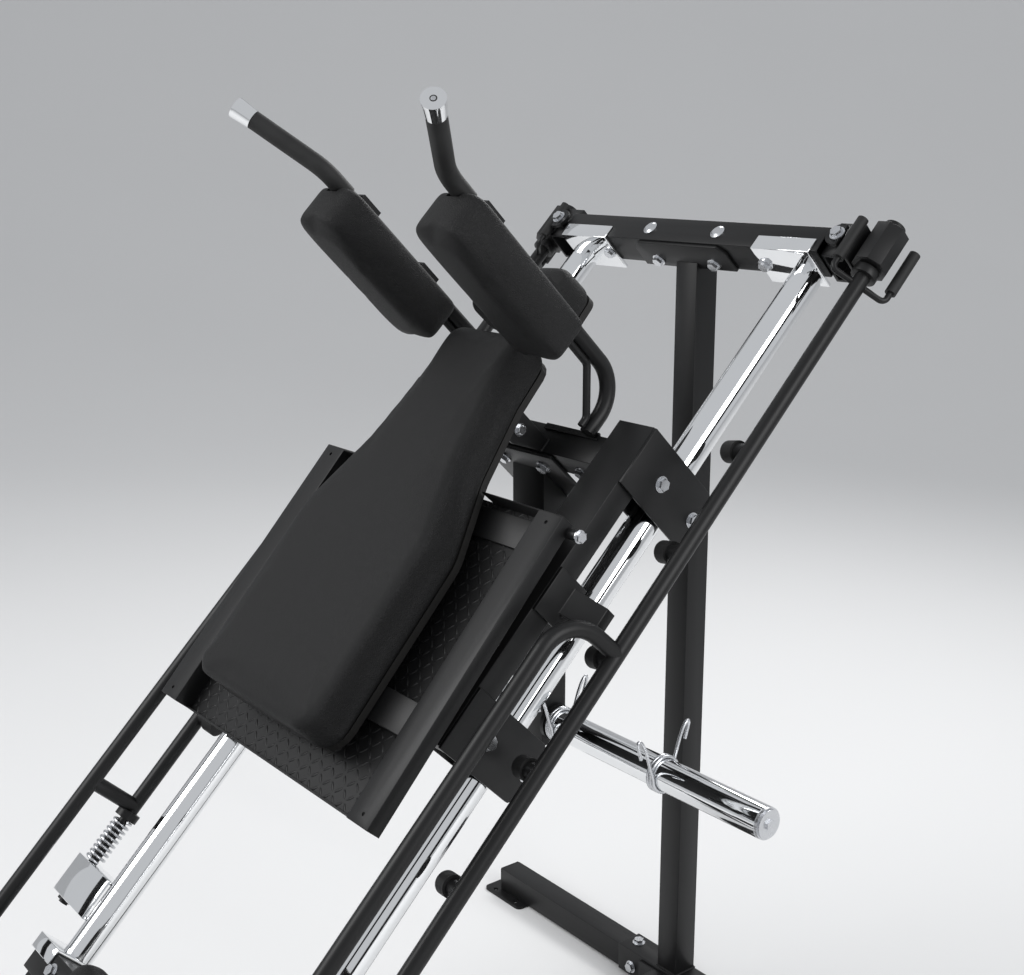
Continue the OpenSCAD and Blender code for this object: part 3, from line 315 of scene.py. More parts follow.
class MachineFinishes(bpy.types.PropertyGroup):
    """Colours and gloss of the machine's surfaces."""
    coat_colour: shade("Powder coat", "Colour of the coated steel", (0.0075, 0.0075, 0.0078))
    coat_rough: share("Coat roughness", "How dull the powder coat is", 0.40)
    leather_colour: shade("Leatherette", "Colour of the cushions", (0.0115, 0.0115, 0.0118))
    leather_rough: share("Leatherette roughness", "How dull the leatherette is", 0.56)
    rubber_colour: shade("Rubber", "Colour of grips, caps and sleeves", (0.0085, 0.0085, 0.0085))
    zinc_colour: shade("Zinc", "Colour of the plated hardware", (0.62, 0.63, 0.65))
    chrome_colour: shade("Chrome", "Colour of the chromed steel", (0.86, 0.87, 0.88))
    board_colour: shade("Boards", "Colour of the painted boards", (0.009, 0.0085, 0.008))


class MachineCushions(bpy.types.PropertyGroup):
    """Sizes of the stuffed pads."""
    voxel: length("Voxel", "Mesh size that the cushions are simulated at", 0.0065)
    puff: share("Pressure", "Air pressure that fills a cushion", 4.0, 0.0, 10.0)
    swell: length("Swell", "Furthest that a point of a cushion may move", 0.005)
    edge: length("Edge radius", "Radius of the cushions' upper edges", 0.009)
    grain: length("Grain", "Size of one pebble of the leatherette", 0.0016)


class MachineDetails(bpy.types.PropertyGroup):
    """Sizes of what repeats on the machine."""
    lug_pitch: length("Lug pitch", "Distance between the tread plate's raised lugs", 0.0155)
    lug_length: length("Lug length", "Length of one raised lug", 0.0165)
    lug_width: length("Lug width", "Width of one raised lug", 0.0046)
    lug_height: length("Lug height", "Height of one raised lug", 0.0009)
    edge: length("Steel edge", "Width of the rounding along steel edges", 0.0012)
    weld: length("Weld width", "Width of a weld bead", 0.0055)


class MachineStage(bpy.types.PropertyGroup):
    """The floor, the lights and the camera."""
    floor_colour: shade("Floor", "Colour of the studio floor", (0.72, 0.72, 0.72))
    key_power: watts("Key light", "Power of the key light in watts", 125)
    fill_power: watts("Fill light", "Power of the fill and back lights in watts", 65)
    world_light: share("World light", "Strength of the studio's own light", 0.62, 0.0, 3.0)
    field_of_view: bpy.props.FloatProperty(
        name="Field of view", description="Angle across the picture", default=math.radians(40),
        subtype="ANGLE"
    )


def finishes():
    return bpy.context.scene.machine_finishes


def cushions():
    return bpy.context.scene.machine_cushions


def details():
    return bpy.context.scene.machine_details


# Finishes

def powder_coat():
    """Satin black powder coat: a fine orange peel with slow changes of gloss."""
    own = finishes()
    made = Finish("Satin powder coat", IOR=1.45, Specular_IOR_Level=0.3,
                  Coat_Weight=0.04, Coat_Roughness=0.35)
    wide, peel, dust = made.noise(6.0), made.noise(620.0, 2.0), made.noise(2400.0, 1.0)
    made.colour(wide, own.coat_colour, 0.85, 1.25)
    made.feed("Roughness", own.coat_rough - 0.05 + wide * 0.08 + dust * 0.04)
    made.bump(peel * 0.75 + dust * 0.25, 0.00012, 0.5)
    return made.material


def chrome_plate():
    """Polished chrome with a breath of haze and a few hairline rubs."""
    own = finishes()
    made = Finish("Chrome plate", Metallic=1.0)
    haze, rubs = made.noise(9.0, 4.0), made.noise(420.0, 2.0)
    made.colour(haze, own.chrome_colour, 0.95, 1.03)
    made.feed("Roughness", 0.035 + haze.between(0.45, 0.75) * 0.04 + rubs * 0.015)
    made.bump(made.noise(30.0, 2.0), 0.00006, 0.25)
    return made.material


def zinc_plate():
    """Zinc plating: bright, slightly spangled and a little dulled."""
    own = finishes()
    made = Finish("Zinc plate", Metallic=1.0)
    spangle, stain = made.cells(260.0, out=1), made.noise(24.0, 4.0)
    value = made.node("ShaderNodeRGBToBW", {}, [spangle])
    made.colour(value * 0.5 + stain * 0.5, own.zinc_colour, 0.93, 1.06)
    made.feed("Roughness", 0.20 + stain * 0.10 + value * 0.02)
    made.bump(made.noise(900.0, 2.0), 0.00005, 0.4)
    return made.material


def leatherette():
    """Pebbled leatherette: small rounded pebbles on the faces, coarser ones round the sides."""
    own, size = finishes(), cushions().grain
    made = Finish("Black leatherette", IOR=1.46, Specular_IOR_Level=0.24)
    side = made.node("ShaderNodeAttribute", {"attribute_name": "side"}, out="Fac")
    fine = made.cells(1.0 / size, "DISTANCE_TO_EDGE").between(0.02, 0.32)
    coarse = made.cells(0.55 / size, "DISTANCE_TO_EDGE").between(0.02, 0.36)
    pores, folds, wide = made.noise(1500.0, 2.0), made.noise(95.0, 3.0), made.noise(5.0)
    on_faces, on_sides = fine * 0.6 + pores * 0.25, coarse * 1.5 + pores * 0.3
    height = (1 - side) * on_faces + side * on_sides + folds * 0.5
    cell = made.node("ShaderNodeRGBToBW", {}, [made.cells(0.55 / size, out=1)])
    made.colour(wide * 0.4 + cell * 0.35 * side + fine * 0.25, own.leather_colour, 0.60, 1.45)
    made.feed("Roughness", own.leather_rough - fine * 0.06 + side * 0.04 + wide * 0.05)
    made.bump(height, 0.00045, 0.8)
    return made.material


def black_rubber():
    """Moulded rubber: matt, finely pitted, with faint greyish bloom."""
    own = finishes()
    made = Finish("Black rubber", IOR=1.5, Specular_IOR_Level=0.4)
    bloom, pits = made.noise(18.0, 4.0), made.noise(1100.0, 2.0)
    made.colour(bloom.between(0.4, 0.8), own.rubber_colour, 0.9, 1.9)
    made.feed("Roughness", 0.58 + bloom * 0.14 - pits * 0.05)
    made.bump(pits, 0.00010, 0.6)
    return made.material


def black_plastic():
    """Moulded nylon of the rollers, knob and plugs: slightly glossier than the rubber."""
    own = finishes()
    made = Finish("Black plastic", IOR=1.5)
    flow, grain = made.noise(35.0, 3.0), made.noise(1600.0, 1.0)
    made.colour(flow, own.rubber_colour, 1.0, 1.5)
    made.feed("Roughness", 0.36 + flow * 0.10 + grain * 0.05)
    made.bump(grain * 0.7 + flow * 0.3, 0.00008, 0.4)
    return made.material


def painted_board():
    """Plywood painted black, with its grain showing faintly through."""
    own = finishes()
    made = Finish("Painted board", IOR=1.45)
    stretched = made.node("ShaderNodeMapping", {}, {"Vector": made.place, "Scale": (18.0, 1.4, 1.4)})
    grain = made.node("ShaderNodeTexNoise", {}, {
        "Vector": stretched, "Scale": 9.0, "Detail": 5.0, "Distortion": 1.2
    })
    made.colour(grain, own.board_colour, 0.7, 1.5)
    made.feed("Roughness", 0.55 + grain * 0.15)
    made.bump(grain, 0.0003, 0.5)
    return made.material


MAKERS = {
    "frame_paint": powder_coat, "chrome_steel": chrome_plate, "zinc_hardware": zinc_plate,
    "pad_leather": leatherette, "black_rubber": black_rubber, "black_plastic": black_plastic,
    "pad_board": painted_board,
}
made_finishes = {}


def finish_of(slot):
    if slot not in made_finishes:
        made_finishes[slot] = MAKERS[slot]()
    return made_finishes[slot]


SLOT_OF = {part["node"]: part["material_slot"] for part in frame["record"]["subparts"]}
BODY_OF = {node: body for body, nodes in frame["record"]["behaviour"]["bodies"].items() for node in nodes}


# Geometry node trees for what repeats

def geometry_tree(name, inputs):
    """A new tree with a Geometry socket each way and the named inputs."""
    tree = bpy.data.node_groups.new(name, "GeometryNodeTree")
    tree.interface.new_socket("Geometry", in_out="INPUT", socket_type="NodeSocketGeometry")
    tree.interface.new_socket("Geometry", in_out="OUTPUT", socket_type="NodeSocketGeometry")
    for label, kind, default in inputs:
        socket = tree.interface.new_socket(label, in_out="INPUT", socket_type=kind)
        if default is not None:
            socket.default_value = default
    graph = Graph(tree)
    entry = tree.nodes.new("NodeGroupInput")
    graph.given = {s.name: Wire(graph, s) for s in entry.outputs if s.name}
    return graph


def close_tree(graph, geometry):
    """Ends a tree in Realize Instances and Set Material."""
    solid = graph.node("GeometryNodeRealizeInstances", {}, [geometry])
    coated = graph.node("GeometryNodeSetMaterial", {}, {
        "Geometry": solid, "Material": graph.given["Material"]
    })
    end = graph.tree.nodes.new("NodeGroupOutput")
    graph.tree.links.new(coated.socket, end.inputs[0])
    return graph.tree


def grown(piece, tree, **values):
    """Runs a geometry tree on a piece and keeps the result as a plain mesh."""
    modifier = piece.modifiers.new(tree.name, "NODES")
    modifier.node_group = tree
    sockets = {s.name: s.identifier for s in tree.interface.items_tree if s.in_out == "INPUT"}
    for key, value in values.items():
        modifier[sockets[key.replace("_", " ")]] = value
    return baked(piece)


def lug_tree():
    """Raised lugs of a tread plate, standing across each other on a checker of places."""
    graph = geometry_tree("Tread lugs", [
        ("Width", "NodeSocketFloat", 0.5), ("Length", "NodeSocketFloat", 0.5),
        ("Pitch", "NodeSocketFloat", 0.015), ("Lug length", "NodeSocketFloat", 0.016),
        ("Lug width", "NodeSocketFloat", 0.004), ("Lug height", "NodeSocketFloat", 0.001),
        ("Material", "NodeSocketMaterial", None),
    ])
    given = graph.given
    across = graph.node("ShaderNodeMath", {"operation": "ROUND"}, [given["Width"] / given["Pitch"]])
    along = graph.node("ShaderNodeMath", {"operation": "ROUND"}, [given["Length"] / given["Pitch"]])
    grid = graph.node("GeometryNodeMeshGrid", {}, [given["Width"], given["Length"], across, along])
    index = graph.node("GeometryNodeInputIndex")
    row = graph.node("ShaderNodeMath", {"operation": "FLOOR"}, [(index + 0.5) / along])
    parity = graph.node("ShaderNodeMath", {"operation": "MODULO"}, [row + index - row * along, 2.0])
    turn = graph.node("ShaderNodeCombineXYZ", {}, [0.0, 0.0, parity * (math.pi / 2) + math.pi / 4])
    ball = graph.node("GeometryNodeMeshUVSphere", {}, {"Segments": 10, "Rings": 6, "Radius": 0.5})
    size = graph.node("ShaderNodeCombineXYZ", {}, [
        given["Lug length"], given["Lug width"], given["Lug height"] * 2.0
    ])
    placed = graph.node("GeometryNodeInstanceOnPoints", {}, {
        "Points": grid, "Instance": ball, "Rotation": turn, "Scale": size,
    })
    return close_tree(graph, placed)


def wire_tree():
    """A round wire along a polyline."""
    graph = geometry_tree("Round wire", [
        ("Radius", "NodeSocketFloat", 0.0025), ("Sides", "NodeSocketInt", 12),
        ("Material", "NodeSocketMaterial", None),
    ])
    curve = graph.node("GeometryNodeMeshToCurve", {}, [graph.given["Geometry"]])
    ring = graph.node("GeometryNodeCurvePrimitiveCircle", {}, {
        "Resolution": graph.given["Sides"], "Radius": graph.given["Radius"]
    })
    tube = graph.node("GeometryNodeCurveToMesh", {}, {
        "Curve": curve, "Profile Curve": ring, "Fill Caps": True
    })
    return close_tree(graph, graph.node("GeometryNodeSetShadeSmooth", {}, [tube]))


def bolt_tree():
    """Hexagon bolts with a washer, one at each vertex, turned by the point attribute 'turn'."""
    graph = geometry_tree("Hexagon bolts", [
        ("Across", "NodeSocketFloat", 0.019), ("Head", "NodeSocketFloat", 0.007),
        ("Washer", "NodeSocketFloat", 0.022), ("Washer height", "NodeSocketFloat", 0.002),
        ("Material", "NodeSocketMaterial", None),
    ])
    given = graph.given
    flat = 0.82             # share of the head's height below its crown
    head = graph.node("GeometryNodeMeshCone", {}, {
        "Vertices": 6, "Radius Top": given["Across"] * 0.5, "Radius Bottom": given["Across"] * 0.5,
        "Depth": given["Head"] * flat,
    })
    crown = graph.node("GeometryNodeMeshCone", {}, {
        "Vertices": 24, "Radius Top": given["Across"] * 0.37, "Radius Bottom": given["Across"] * 0.435,
        "Depth": given["Head"] * (1 - flat),
    })
    washer = graph.node("GeometryNodeMeshCone", {}, {
        "Vertices": 32, "Radius Top": given["Washer"] * 0.485, "Radius Bottom": given["Washer"] * 0.5,
        "Depth": given["Washer height"],
    })
    lifts = [
        (head, given["Washer height"]), (crown, given["Washer height"] + given["Head"] * flat), (washer, 0.0)
    ]
    joined = graph.tree.nodes.new("GeometryNodeJoinGeometry")
    for part, lift in lifts:
        shift = graph.node("ShaderNodeCombineXYZ", {}, [0.0, 0.0, lift])
        raised = graph.node("GeometryNodeTransform", {}, {"Geometry": part, "Translation": shift})
        graph.tree.links.new(raised.socket, joined.inputs[0])
    turn = graph.node("GeometryNodeInputNamedAttribute", {"data_type": "FLOAT_VECTOR"}, {"Name": "turn"})
    placed = graph.node("GeometryNodeInstanceOnPoints", {}, {
        "Points": given["Geometry"], "Instance": Wire(graph, joined.outputs[0]), "Rotation": turn,
    })
    return close_tree(graph, placed)


def bead_tree():
    """A weld bead: overlapping ripples along a polyline."""
    graph = geometry_tree("Weld bead", [
        ("Bead width", "NodeSocketFloat", 0.005), ("Pitch", "NodeSocketFloat", 0.0022),
        ("Material", "NodeSocketMaterial", None),
    ])
    given = graph.given
    curve = graph.node("GeometryNodeMeshToCurve", {}, [given["Geometry"]])
    points = graph.node("GeometryNodeCurveToPoints", {"mode": "LENGTH"}, {
        "Curve": curve, "Length": given["Pitch"]
    })
    spin = Wire(graph, points.socket.node.outputs["Rotation"])
    ripple = graph.node("GeometryNodeMeshUVSphere", {}, {"Segments": 8, "Rings": 5, "Radius": 0.5})
    size = graph.node("ShaderNodeCombineXYZ", {}, [
        given["Bead width"], given["Bead width"], given["Pitch"] * 2.6
    ])
    placed = graph.node("GeometryNodeInstanceOnPoints", {}, {
        "Points": points, "Instance": ripple, "Rotation": spin, "Scale": size,
    })
    return close_tree(graph, graph.node("GeometryNodeSetShadeSmooth", {}, [
        graph.node("GeometryNodeRealizeInstances", {}, [placed])
    ]))


TREE_MAKERS = {"lugs": lug_tree, "wire": wire_tree, "bolts": bolt_tree, "bead": bead_tree}
made_trees = {}


def tree_of(name):
    if name not in made_trees:
        made_trees[name] = TREE_MAKERS[name]()
    return made_trees[name]


def polyline(name, lines):
    """A mesh of open polylines."""
    verts, edges = [], []
    for line in lines:
        start = len(verts)
        verts += [tuple(p) for p in line]
        edges += [(start + i, start + i + 1) for i in range(len(line) - 1)]
    mesh = bpy.data.meshes.new(name)
    mesh.from_pydata(verts, edges, [])
    return add_object(name, mesh)


def wires(name, body, lines, radius, slot, sides=12, replaces=()):
    """Round wires along polylines, as one piece, with their radius in metres."""
    piece = grown(polyline(name, lines), tree_of("wire"), Radius=radius, Sides=sides,
                  Material=finish_of(slot))
    return settle(piece, body, replaces)


def bolts(name, body, places, slot="zinc_hardware", **sizes):
    """Hexagon bolts at (point, direction) places, as one piece."""
    mesh = bpy.data.meshes.new(name)
    mesh.from_pydata([tuple(p) for p, _ in places], [], [])
    turns = mesh.attributes.new("turn", "FLOAT_VECTOR", "POINT")
    spin = Random(len(places) * 7 + 3)
    for i, (_, way) in enumerate(places):
        own_turn = Matrix.Rotation(spin.uniform(0, 1.05), 3, "Z").to_quaternion()
        turns.data[i].vector = (Vector(way).to_track_quat("Z", "Y") @ own_turn).to_euler()
    piece = grown(add_object(name, mesh), tree_of("bolts"), Material=finish_of(slot), **sizes)
    smooth(piece.data, 40)
    return settle(piece, body)


def beads(name, body, lines):
    """Weld beads along polylines, as one piece."""
    width = details().weld
    piece = grown(polyline(name, lines), tree_of("bead"), Bead_width=width, Pitch=width * RIPPLE_PITCH,
                  Material=finish_of("frame_paint"))
    return settle(piece, body)


def round_over(work, edges, width):
    bmesh.ops.bevel(
        work, geom=edges, offset=width, offset_type="OFFSET", segments=2, profile=0.5, affect="EDGES",
        clamp_overlap=True
    )


def discs(name, body, spans, slot):
    """Discs and spacers, each from one point to another with its radius in mm, as one piece."""
    work = bmesh.new()
    for start, end, radius in spans:
        way = end - start
        place = Matrix.Translation((start + end) / 2) @ way.to_track_quat("Z", "Y").to_matrix().to_4x4()
        bmesh.ops.create_cone(
            work, cap_ends=True, segments=36, radius1=radius * MM, radius2=radius * MM,
            depth=way.length, matrix=place
        )
    rims = [e for e in work.edges if len(e.link_faces) == 2 and e.calc_face_angle(0) > 1.2]
    round_over(work, rims, 0.48 * MM)
    mesh = bpy.data.meshes.new(name)
    work.to_mesh(mesh)
    work.free()
    smooth(mesh, 40)
    return settle(add_object(name, mesh, finish_of(slot)), body)


# Cushions

def corner_arc(before, corner, after, radius, steps):
    """Points of the rounding between two sides of an outline."""
    a, b = (before - corner).normalized(), (after - corner).normalized()
    half = a.angle(b) / 2
    centre = corner + (a + b).normalized() * (radius / math.sin(half))
    start = corner + a * (radius / math.tan(half)) - centre
    sweep = (-1 if a.cross(b) > 0 else 1) * (math.pi - 2 * half)
    return [centre + Matrix.Rotation(sweep * k / steps, 2) @ start for k in range(steps + 1)]


def outline(corners, radii, steps=6):
    corners, count = [Vector(c) for c in corners], len(corners)
    points = []
    for i in range(count):
        points += corner_arc(corners[i - 1], corners[i], corners[(i + 1) % count], radii[i], steps)
    return points


def inset(points, amount):
    count = len(points)
    moved = []
    for i, p in enumerate(points):
        way = (points[(i + 1) % count] - points[i - 1]).normalized()
        moved.append(p + amount * Vector((-way.y, way.x)))
    return moved


def ring_faces(rings, count):
    """Faces of a form made of closed rings of count points: its sides and both its ends."""
    faces = [
        (j * count + i, j * count + (i + 1) % count, (j + 1) * count + (i + 1) % count, (j + 1) * count + i)
        for j in range(rings - 1) for i in range(count)
    ]
    top = (rings - 1) * count
    return faces + [tuple(range(count - 1, -1, -1)), tuple(range(top, top + count))]


def pad_block(points, height, radius, slim):
    """A pad's starting shape in mm: rounded over its upper edge, and a little slim, for it swells."""
    steps = 4
    # inset and height of each ring: two for the turned-in back, two for the side, then the upper edge
    rings = [(slim + 5, 0.0), (slim + 1.5, 1.2), (slim, 4.5), (slim, height - slim - radius)]
    for k in range(1, steps + 1):
        a = math.pi / 2 * k / steps
        rings.append((slim + radius * (1 - math.cos(a)), height - slim - radius * (1 - math.sin(a))))
    verts = [Vector((p.x, p.y, z)) for d, z in rings for p in inset(points, d)]
    return verts, ring_faces(len(rings), len(points))


def inflate(piece):
    """Fills a pad with air in Blender's Cloth, with its back held, and caps how far each point moves."""
    own = cushions()
    before = [v.co.copy() for v in piece.data.vertices]
    held = piece.vertex_groups.new(name="held")
    held.add([v.index for v in piece.data.vertices if v.co.z < HELD * MM], 1.0, "REPLACE")
    cloth = piece.modifiers.new("Cloth", "CLOTH")
    cloth.settings.vertex_group_mass = "held"
    cloth.settings.mass = 0.25
    cloth.settings.tension_stiffness = 18
    cloth.settings.compression_stiffness = 18
    cloth.settings.bending_stiffness = 2.0
    cloth.settings.use_pressure = True
    cloth.settings.uniform_pressure_force = own.puff
    cloth.settings.effector_weights.gravity = 0.0
    scene = bpy.context.scene
    for step in range(1, CLOTH_FRAMES + 1):
        scene.frame_set(step)
    baked(piece)
    scene.frame_set(1)
    for vertex, start in zip(piece.data.vertices, before):
        move = vertex.co - start
        if move.length > own.swell:
            vertex.co = start + move * (own.swell / move.length)


def mark_sides(mesh, up):
    """Stores how far each point's face looks sideways, for the coarser grain of the borders."""
    values = [0.0] * len(mesh.vertices)
    for vertex in mesh.vertices:
        level = abs(vertex.normal.dot(up))
        values[vertex.index] = min(1.0, max(0.0, (SIDE_LEVEL - level) / SIDE_RANGE))
    side = mesh.attributes.new("side", "FLOAT", "POINT")
    side.data.foreach_set("value", values)


def cushion(name, body, frame_of_pad, corners, radii, height, node, voxel=None):
    """One upholstered pad: a rounded block, remeshed, filled with air, smoothed and crowned."""
    own = cushions()
    slim = own.swell / MM * SLIM
    verts, faces = pad_block(outline(corners, radii), height - CROWN, own.edge / MM, slim)
    piece = add_object(name, mesh_of(name, [v * MM for v in verts], faces))
    modify(piece, "REMESH", mode="VOXEL", voxel_size=voxel or own.voxel, use_smooth_shade=True)
    baked(piece)
    inflate(piece)
    lows = [min(p[k] for p in corners) * MM for k in (0, 1)]
    highs = [max(p[k] for p in corners) * MM for k in (0, 1)]
    for vertex in piece.data.vertices:
        u, v = ((vertex.co[k] - (lows[k] + highs[k]) / 2) / ((highs[k] - lows[k]) / 2) for k in (0, 1))
        rise = max(0.0, 1 - u * u) * max(0.0, 1 - v ** 4)
        vertex.co.z += CROWN * MM * rise * min(1.0, max(0.0, vertex.co.z / (height * MM)) ** 2)
    modify(piece, "SMOOTH", factor=0.5, iterations=4)
    modify(piece, "SUBSURF", levels=1, render_levels=1)
    baked(piece)
    place = frame_of_pad @ Matrix.Scale(1 / MM, 4)
    piece.data.transform(place)
    piece.data.update()
    piece.data.polygons.foreach_set("use_smooth", [True] * len(piece.data.polygons))
    mark_sides(piece.data, (place.to_3x3() @ Vector((0, 0, 1))).normalized())
    piece.data.materials.clear()
    piece.data.materials.append(finish_of("pad_leather"))
    settle(piece, body, [node])
    return piece


def box_cushion(name, body, frame_of_pad, size, node, voxel=None):
    half, reach, radius, height = size
    return cushion(name, body, frame_of_pad, box_corners(half, reach), [radius] * 4, height, node, voxel)


def box_corners(half, reach):
    return [(-half, 0), (half, 0), (half, reach), (-half, reach)]


def back_corners():
    """Outline of the back pad: its full width below, then drawn in to the neck in three steps."""
    right = [
        (BACK_HALF, 0), (BACK_HALF, 0.47 * BACK_LENGTH), (BACK_NECK + 26, 0.67 * BACK_LENGTH),
        (BACK_NECK + 2, 0.86 * BACK_LENGTH), (BACK_NECK, BACK_LENGTH),
    ]
    return [(-BACK_HALF, 0)] + right + [(-x, y) for x, y in right[:0:-1]]


# Steel parts with rounded edges

def softened(node, width):
    """A copy of a CAD node whose long sharp edges are rounded, to stand for the node."""
    least, sharpest = 5 * MM, math.radians(35)      # edges shorter or blunter than this stay
    mesh = frame["nodes"][node].data.copy()
    work = bmesh.new()
    work.from_mesh(mesh)
    bmesh.ops.remove_doubles(work, verts=work.verts, dist=3e-6)
    bmesh.ops.dissolve_limit(work, angle_limit=math.radians(0.6), verts=work.verts, edges=work.edges)
    sharp = [
        e for e in work.edges
        if len(e.link_faces) == 2 and e.calc_length() > least and e.calc_face_angle(0) > sharpest
    ]
    round_over(work, sharp, width)
    bmesh.ops.triangulate(work, faces=[f for f in work.faces if len(f.verts) > 4])
    work.to_mesh(mesh)
    work.free()
    smooth(mesh, 38)
    slot = SLOT_OF[node]
    piece = add_object(node + "_rounded", mesh, finish_of(slot))
    return settle(piece, BODY_OF[node], [node])


class MACHINE_OT_carried_parts(bpy.types.Operator):
    """Give every CAD part its finish"""
    bl_idname = "machine.carried_parts"
    bl_label = "Finish the CAD parts"

    def execute(self, context):
        for name, piece in frame["nodes"].items():
            piece.data.materials.clear()
            piece.data.materials.append(finish_of(SLOT_OF[name]))
            smooth(piece.data, 30)
        return {"FINISHED"}


STEEL_EDGES = [
    "floor_beams", "foot_plates", "centre_beams", "rear_post", "joint_plates", "upper_crossbeam",
    "lower_crossbeam", "front_uprights", "platform_frame", "standing_plates", "bar_bearings", "side_tubes",
    "roller_brackets", "carriage_beam", "drop_tube", "tray_frame", "tray_supports", "catch_lugs",
    "pad_brackets", "backrest_frame", "rail_end_brackets", "bar_end_brackets",
]


class MACHINE_OT_steel_edges(bpy.types.Operator):
    """Round the long edges of tubes and plates"""
    bl_idname = "machine.steel_edges"
    bl_label = "Round the steel edges"

    def execute(self, context):
        for node in STEEL_EDGES:
            softened(node, details().edge)
        return {"FINISHED"}


class MACHINE_OT_cushions(bpy.types.Operator):
    """Make the back, head, shoulder, seat and backrest cushions"""
    bl_idname = "machine.cushions"
    bl_label = "Cushions"

    def execute(self, context):
        cushion("back_cushion", "carriage", pad_frame(0, BOARD), back_corners(), BACK_CORNER_RADII,
                BACK_HEIGHT, "back_pad", voxel=0.007)
        box_cushion("head_cushion", "carriage", pad_frame(HEAD_T, BOARD), HEAD_SIZE, "head_pad")
        for side, k in SIDES:
            place = slope_frame(k * SHOULDER_X, SHOULDER_BACK, SHOULDER_W) @ FACING_DOWN
            pad = box_cushion("shoulder_cushion_" + side, "carriage", place, SHOULDER_SIZE,
                              "shoulder_pads", voxel=0.0055)
            self.cut_slots(pad, place)
        box_cushion("seat_cushion", "frame", slope_frame(*SEAT_PLACE), SEAT_SIZE, "seat_pad")
        box_cushion("backrest_cushion", "backrest", slope_frame(*BACKREST_PLACE) @ FACING_UP,
                    BACKREST_SIZE, "backrest_pad", voxel=0.008)
        self.board()
        return {"FINISHED"}

    def cut_slots(self, pad, place):
        """Cuts the slots for the tube into a shoulder pad's back, out through its upper end."""
        top, under = 300, 10            # the cutter's reach past the pad's upper end and its back
        for half, low, depth in SHOULDER_SLOTS:
            middle = Matrix.Translation((0, (low + top) / 2, depth / 2 - under / 2))
            size = Matrix.Diagonal((2 * half, top - low, depth + under, 1))
            bpy.ops.mesh.primitive_cube_add(size=1)
            cutter = bpy.context.object
            cutter.data.transform(place @ middle @ size)
            modify(pad, "BOOLEAN", operation="DIFFERENCE", object=cutter, solver="EXACT")
            baked(pad)
            bpy.data.objects.remove(cutter)
        smooth(pad.data, 50)

    def board(self):
        """The backrest's board: a flat sheet with rounded corners and a chamfered face."""
        half, reach, radius, chamfer = 127, 644, 32, 1.5
        points = outline(box_corners(half, reach), [radius] * 4)
        rings = [(0, 0), (0, BOARD - chamfer), (chamfer, BOARD)]
        verts = [Vector((p.x, p.y, z)) for d, z in rings for p in inset(points, d)]
        mesh = mesh_of("backrest_board", verts, ring_faces(len(rings), len(points)))
        mesh.transform(slope_frame(*BACKREST_BOARD_PLACE) @ FACING_UP)
        smooth(mesh, 35)
        board = add_object("backrest_board", mesh, finish_of("pad_board"))
        settle(board, "backrest", ["backrest_pad"])


class MACHINE_OT_tread(bpy.types.Operator):
    """Raise the lugs of the chequered foot plate"""
    bl_idname = "machine.tread"
    bl_label = "Tread plate"

    def execute(self, context):
        own = details()
        width, reach = 0.506, 0.478     # of the field of lugs, in metres
        seed = add_object("tread_lugs", bpy.data.meshes.new("tread_lugs"))
        piece = grown(
            seed, tree_of("lugs"), Width=width, Length=reach, Pitch=own.lug_pitch,
            Lug_length=own.lug_length, Lug_width=own.lug_width, Lug_height=own.lug_height,
            Material=finish_of("frame_paint")
        )
        work = bmesh.new()
        work.from_mesh(piece.data)
        sunk = [v for v in work.verts if v.co.z < -0.0001]      # the lugs' lower halves
        bmesh.ops.delete(work, geom=sunk, context="VERTS")
        work.to_mesh(piece.data)
        work.free()
        middle = Matrix.Translation((0, TREAD_MIDDLE, 0))
        piece.data.transform(tray_frame() @ middle @ Matrix.Scale(1 / MM, 4))
        smooth(piece.data, 50)
        settle(piece, "carriage")
        return {"FINISHED"}


def coil_path(x, s0, s1, w, radius, turns, per_turn=24):
    """Points of a coil wound round a line up the slope."""
    count = int(turns * per_turn)
    return [
        slope(x + radius * math.cos(2 * math.pi * i / per_turn), s0 + (s1 - s0) * i / count,
              w + radius * math.sin(2 * math.pi * i / per_turn))
        for i in range(count + 1)
    ]


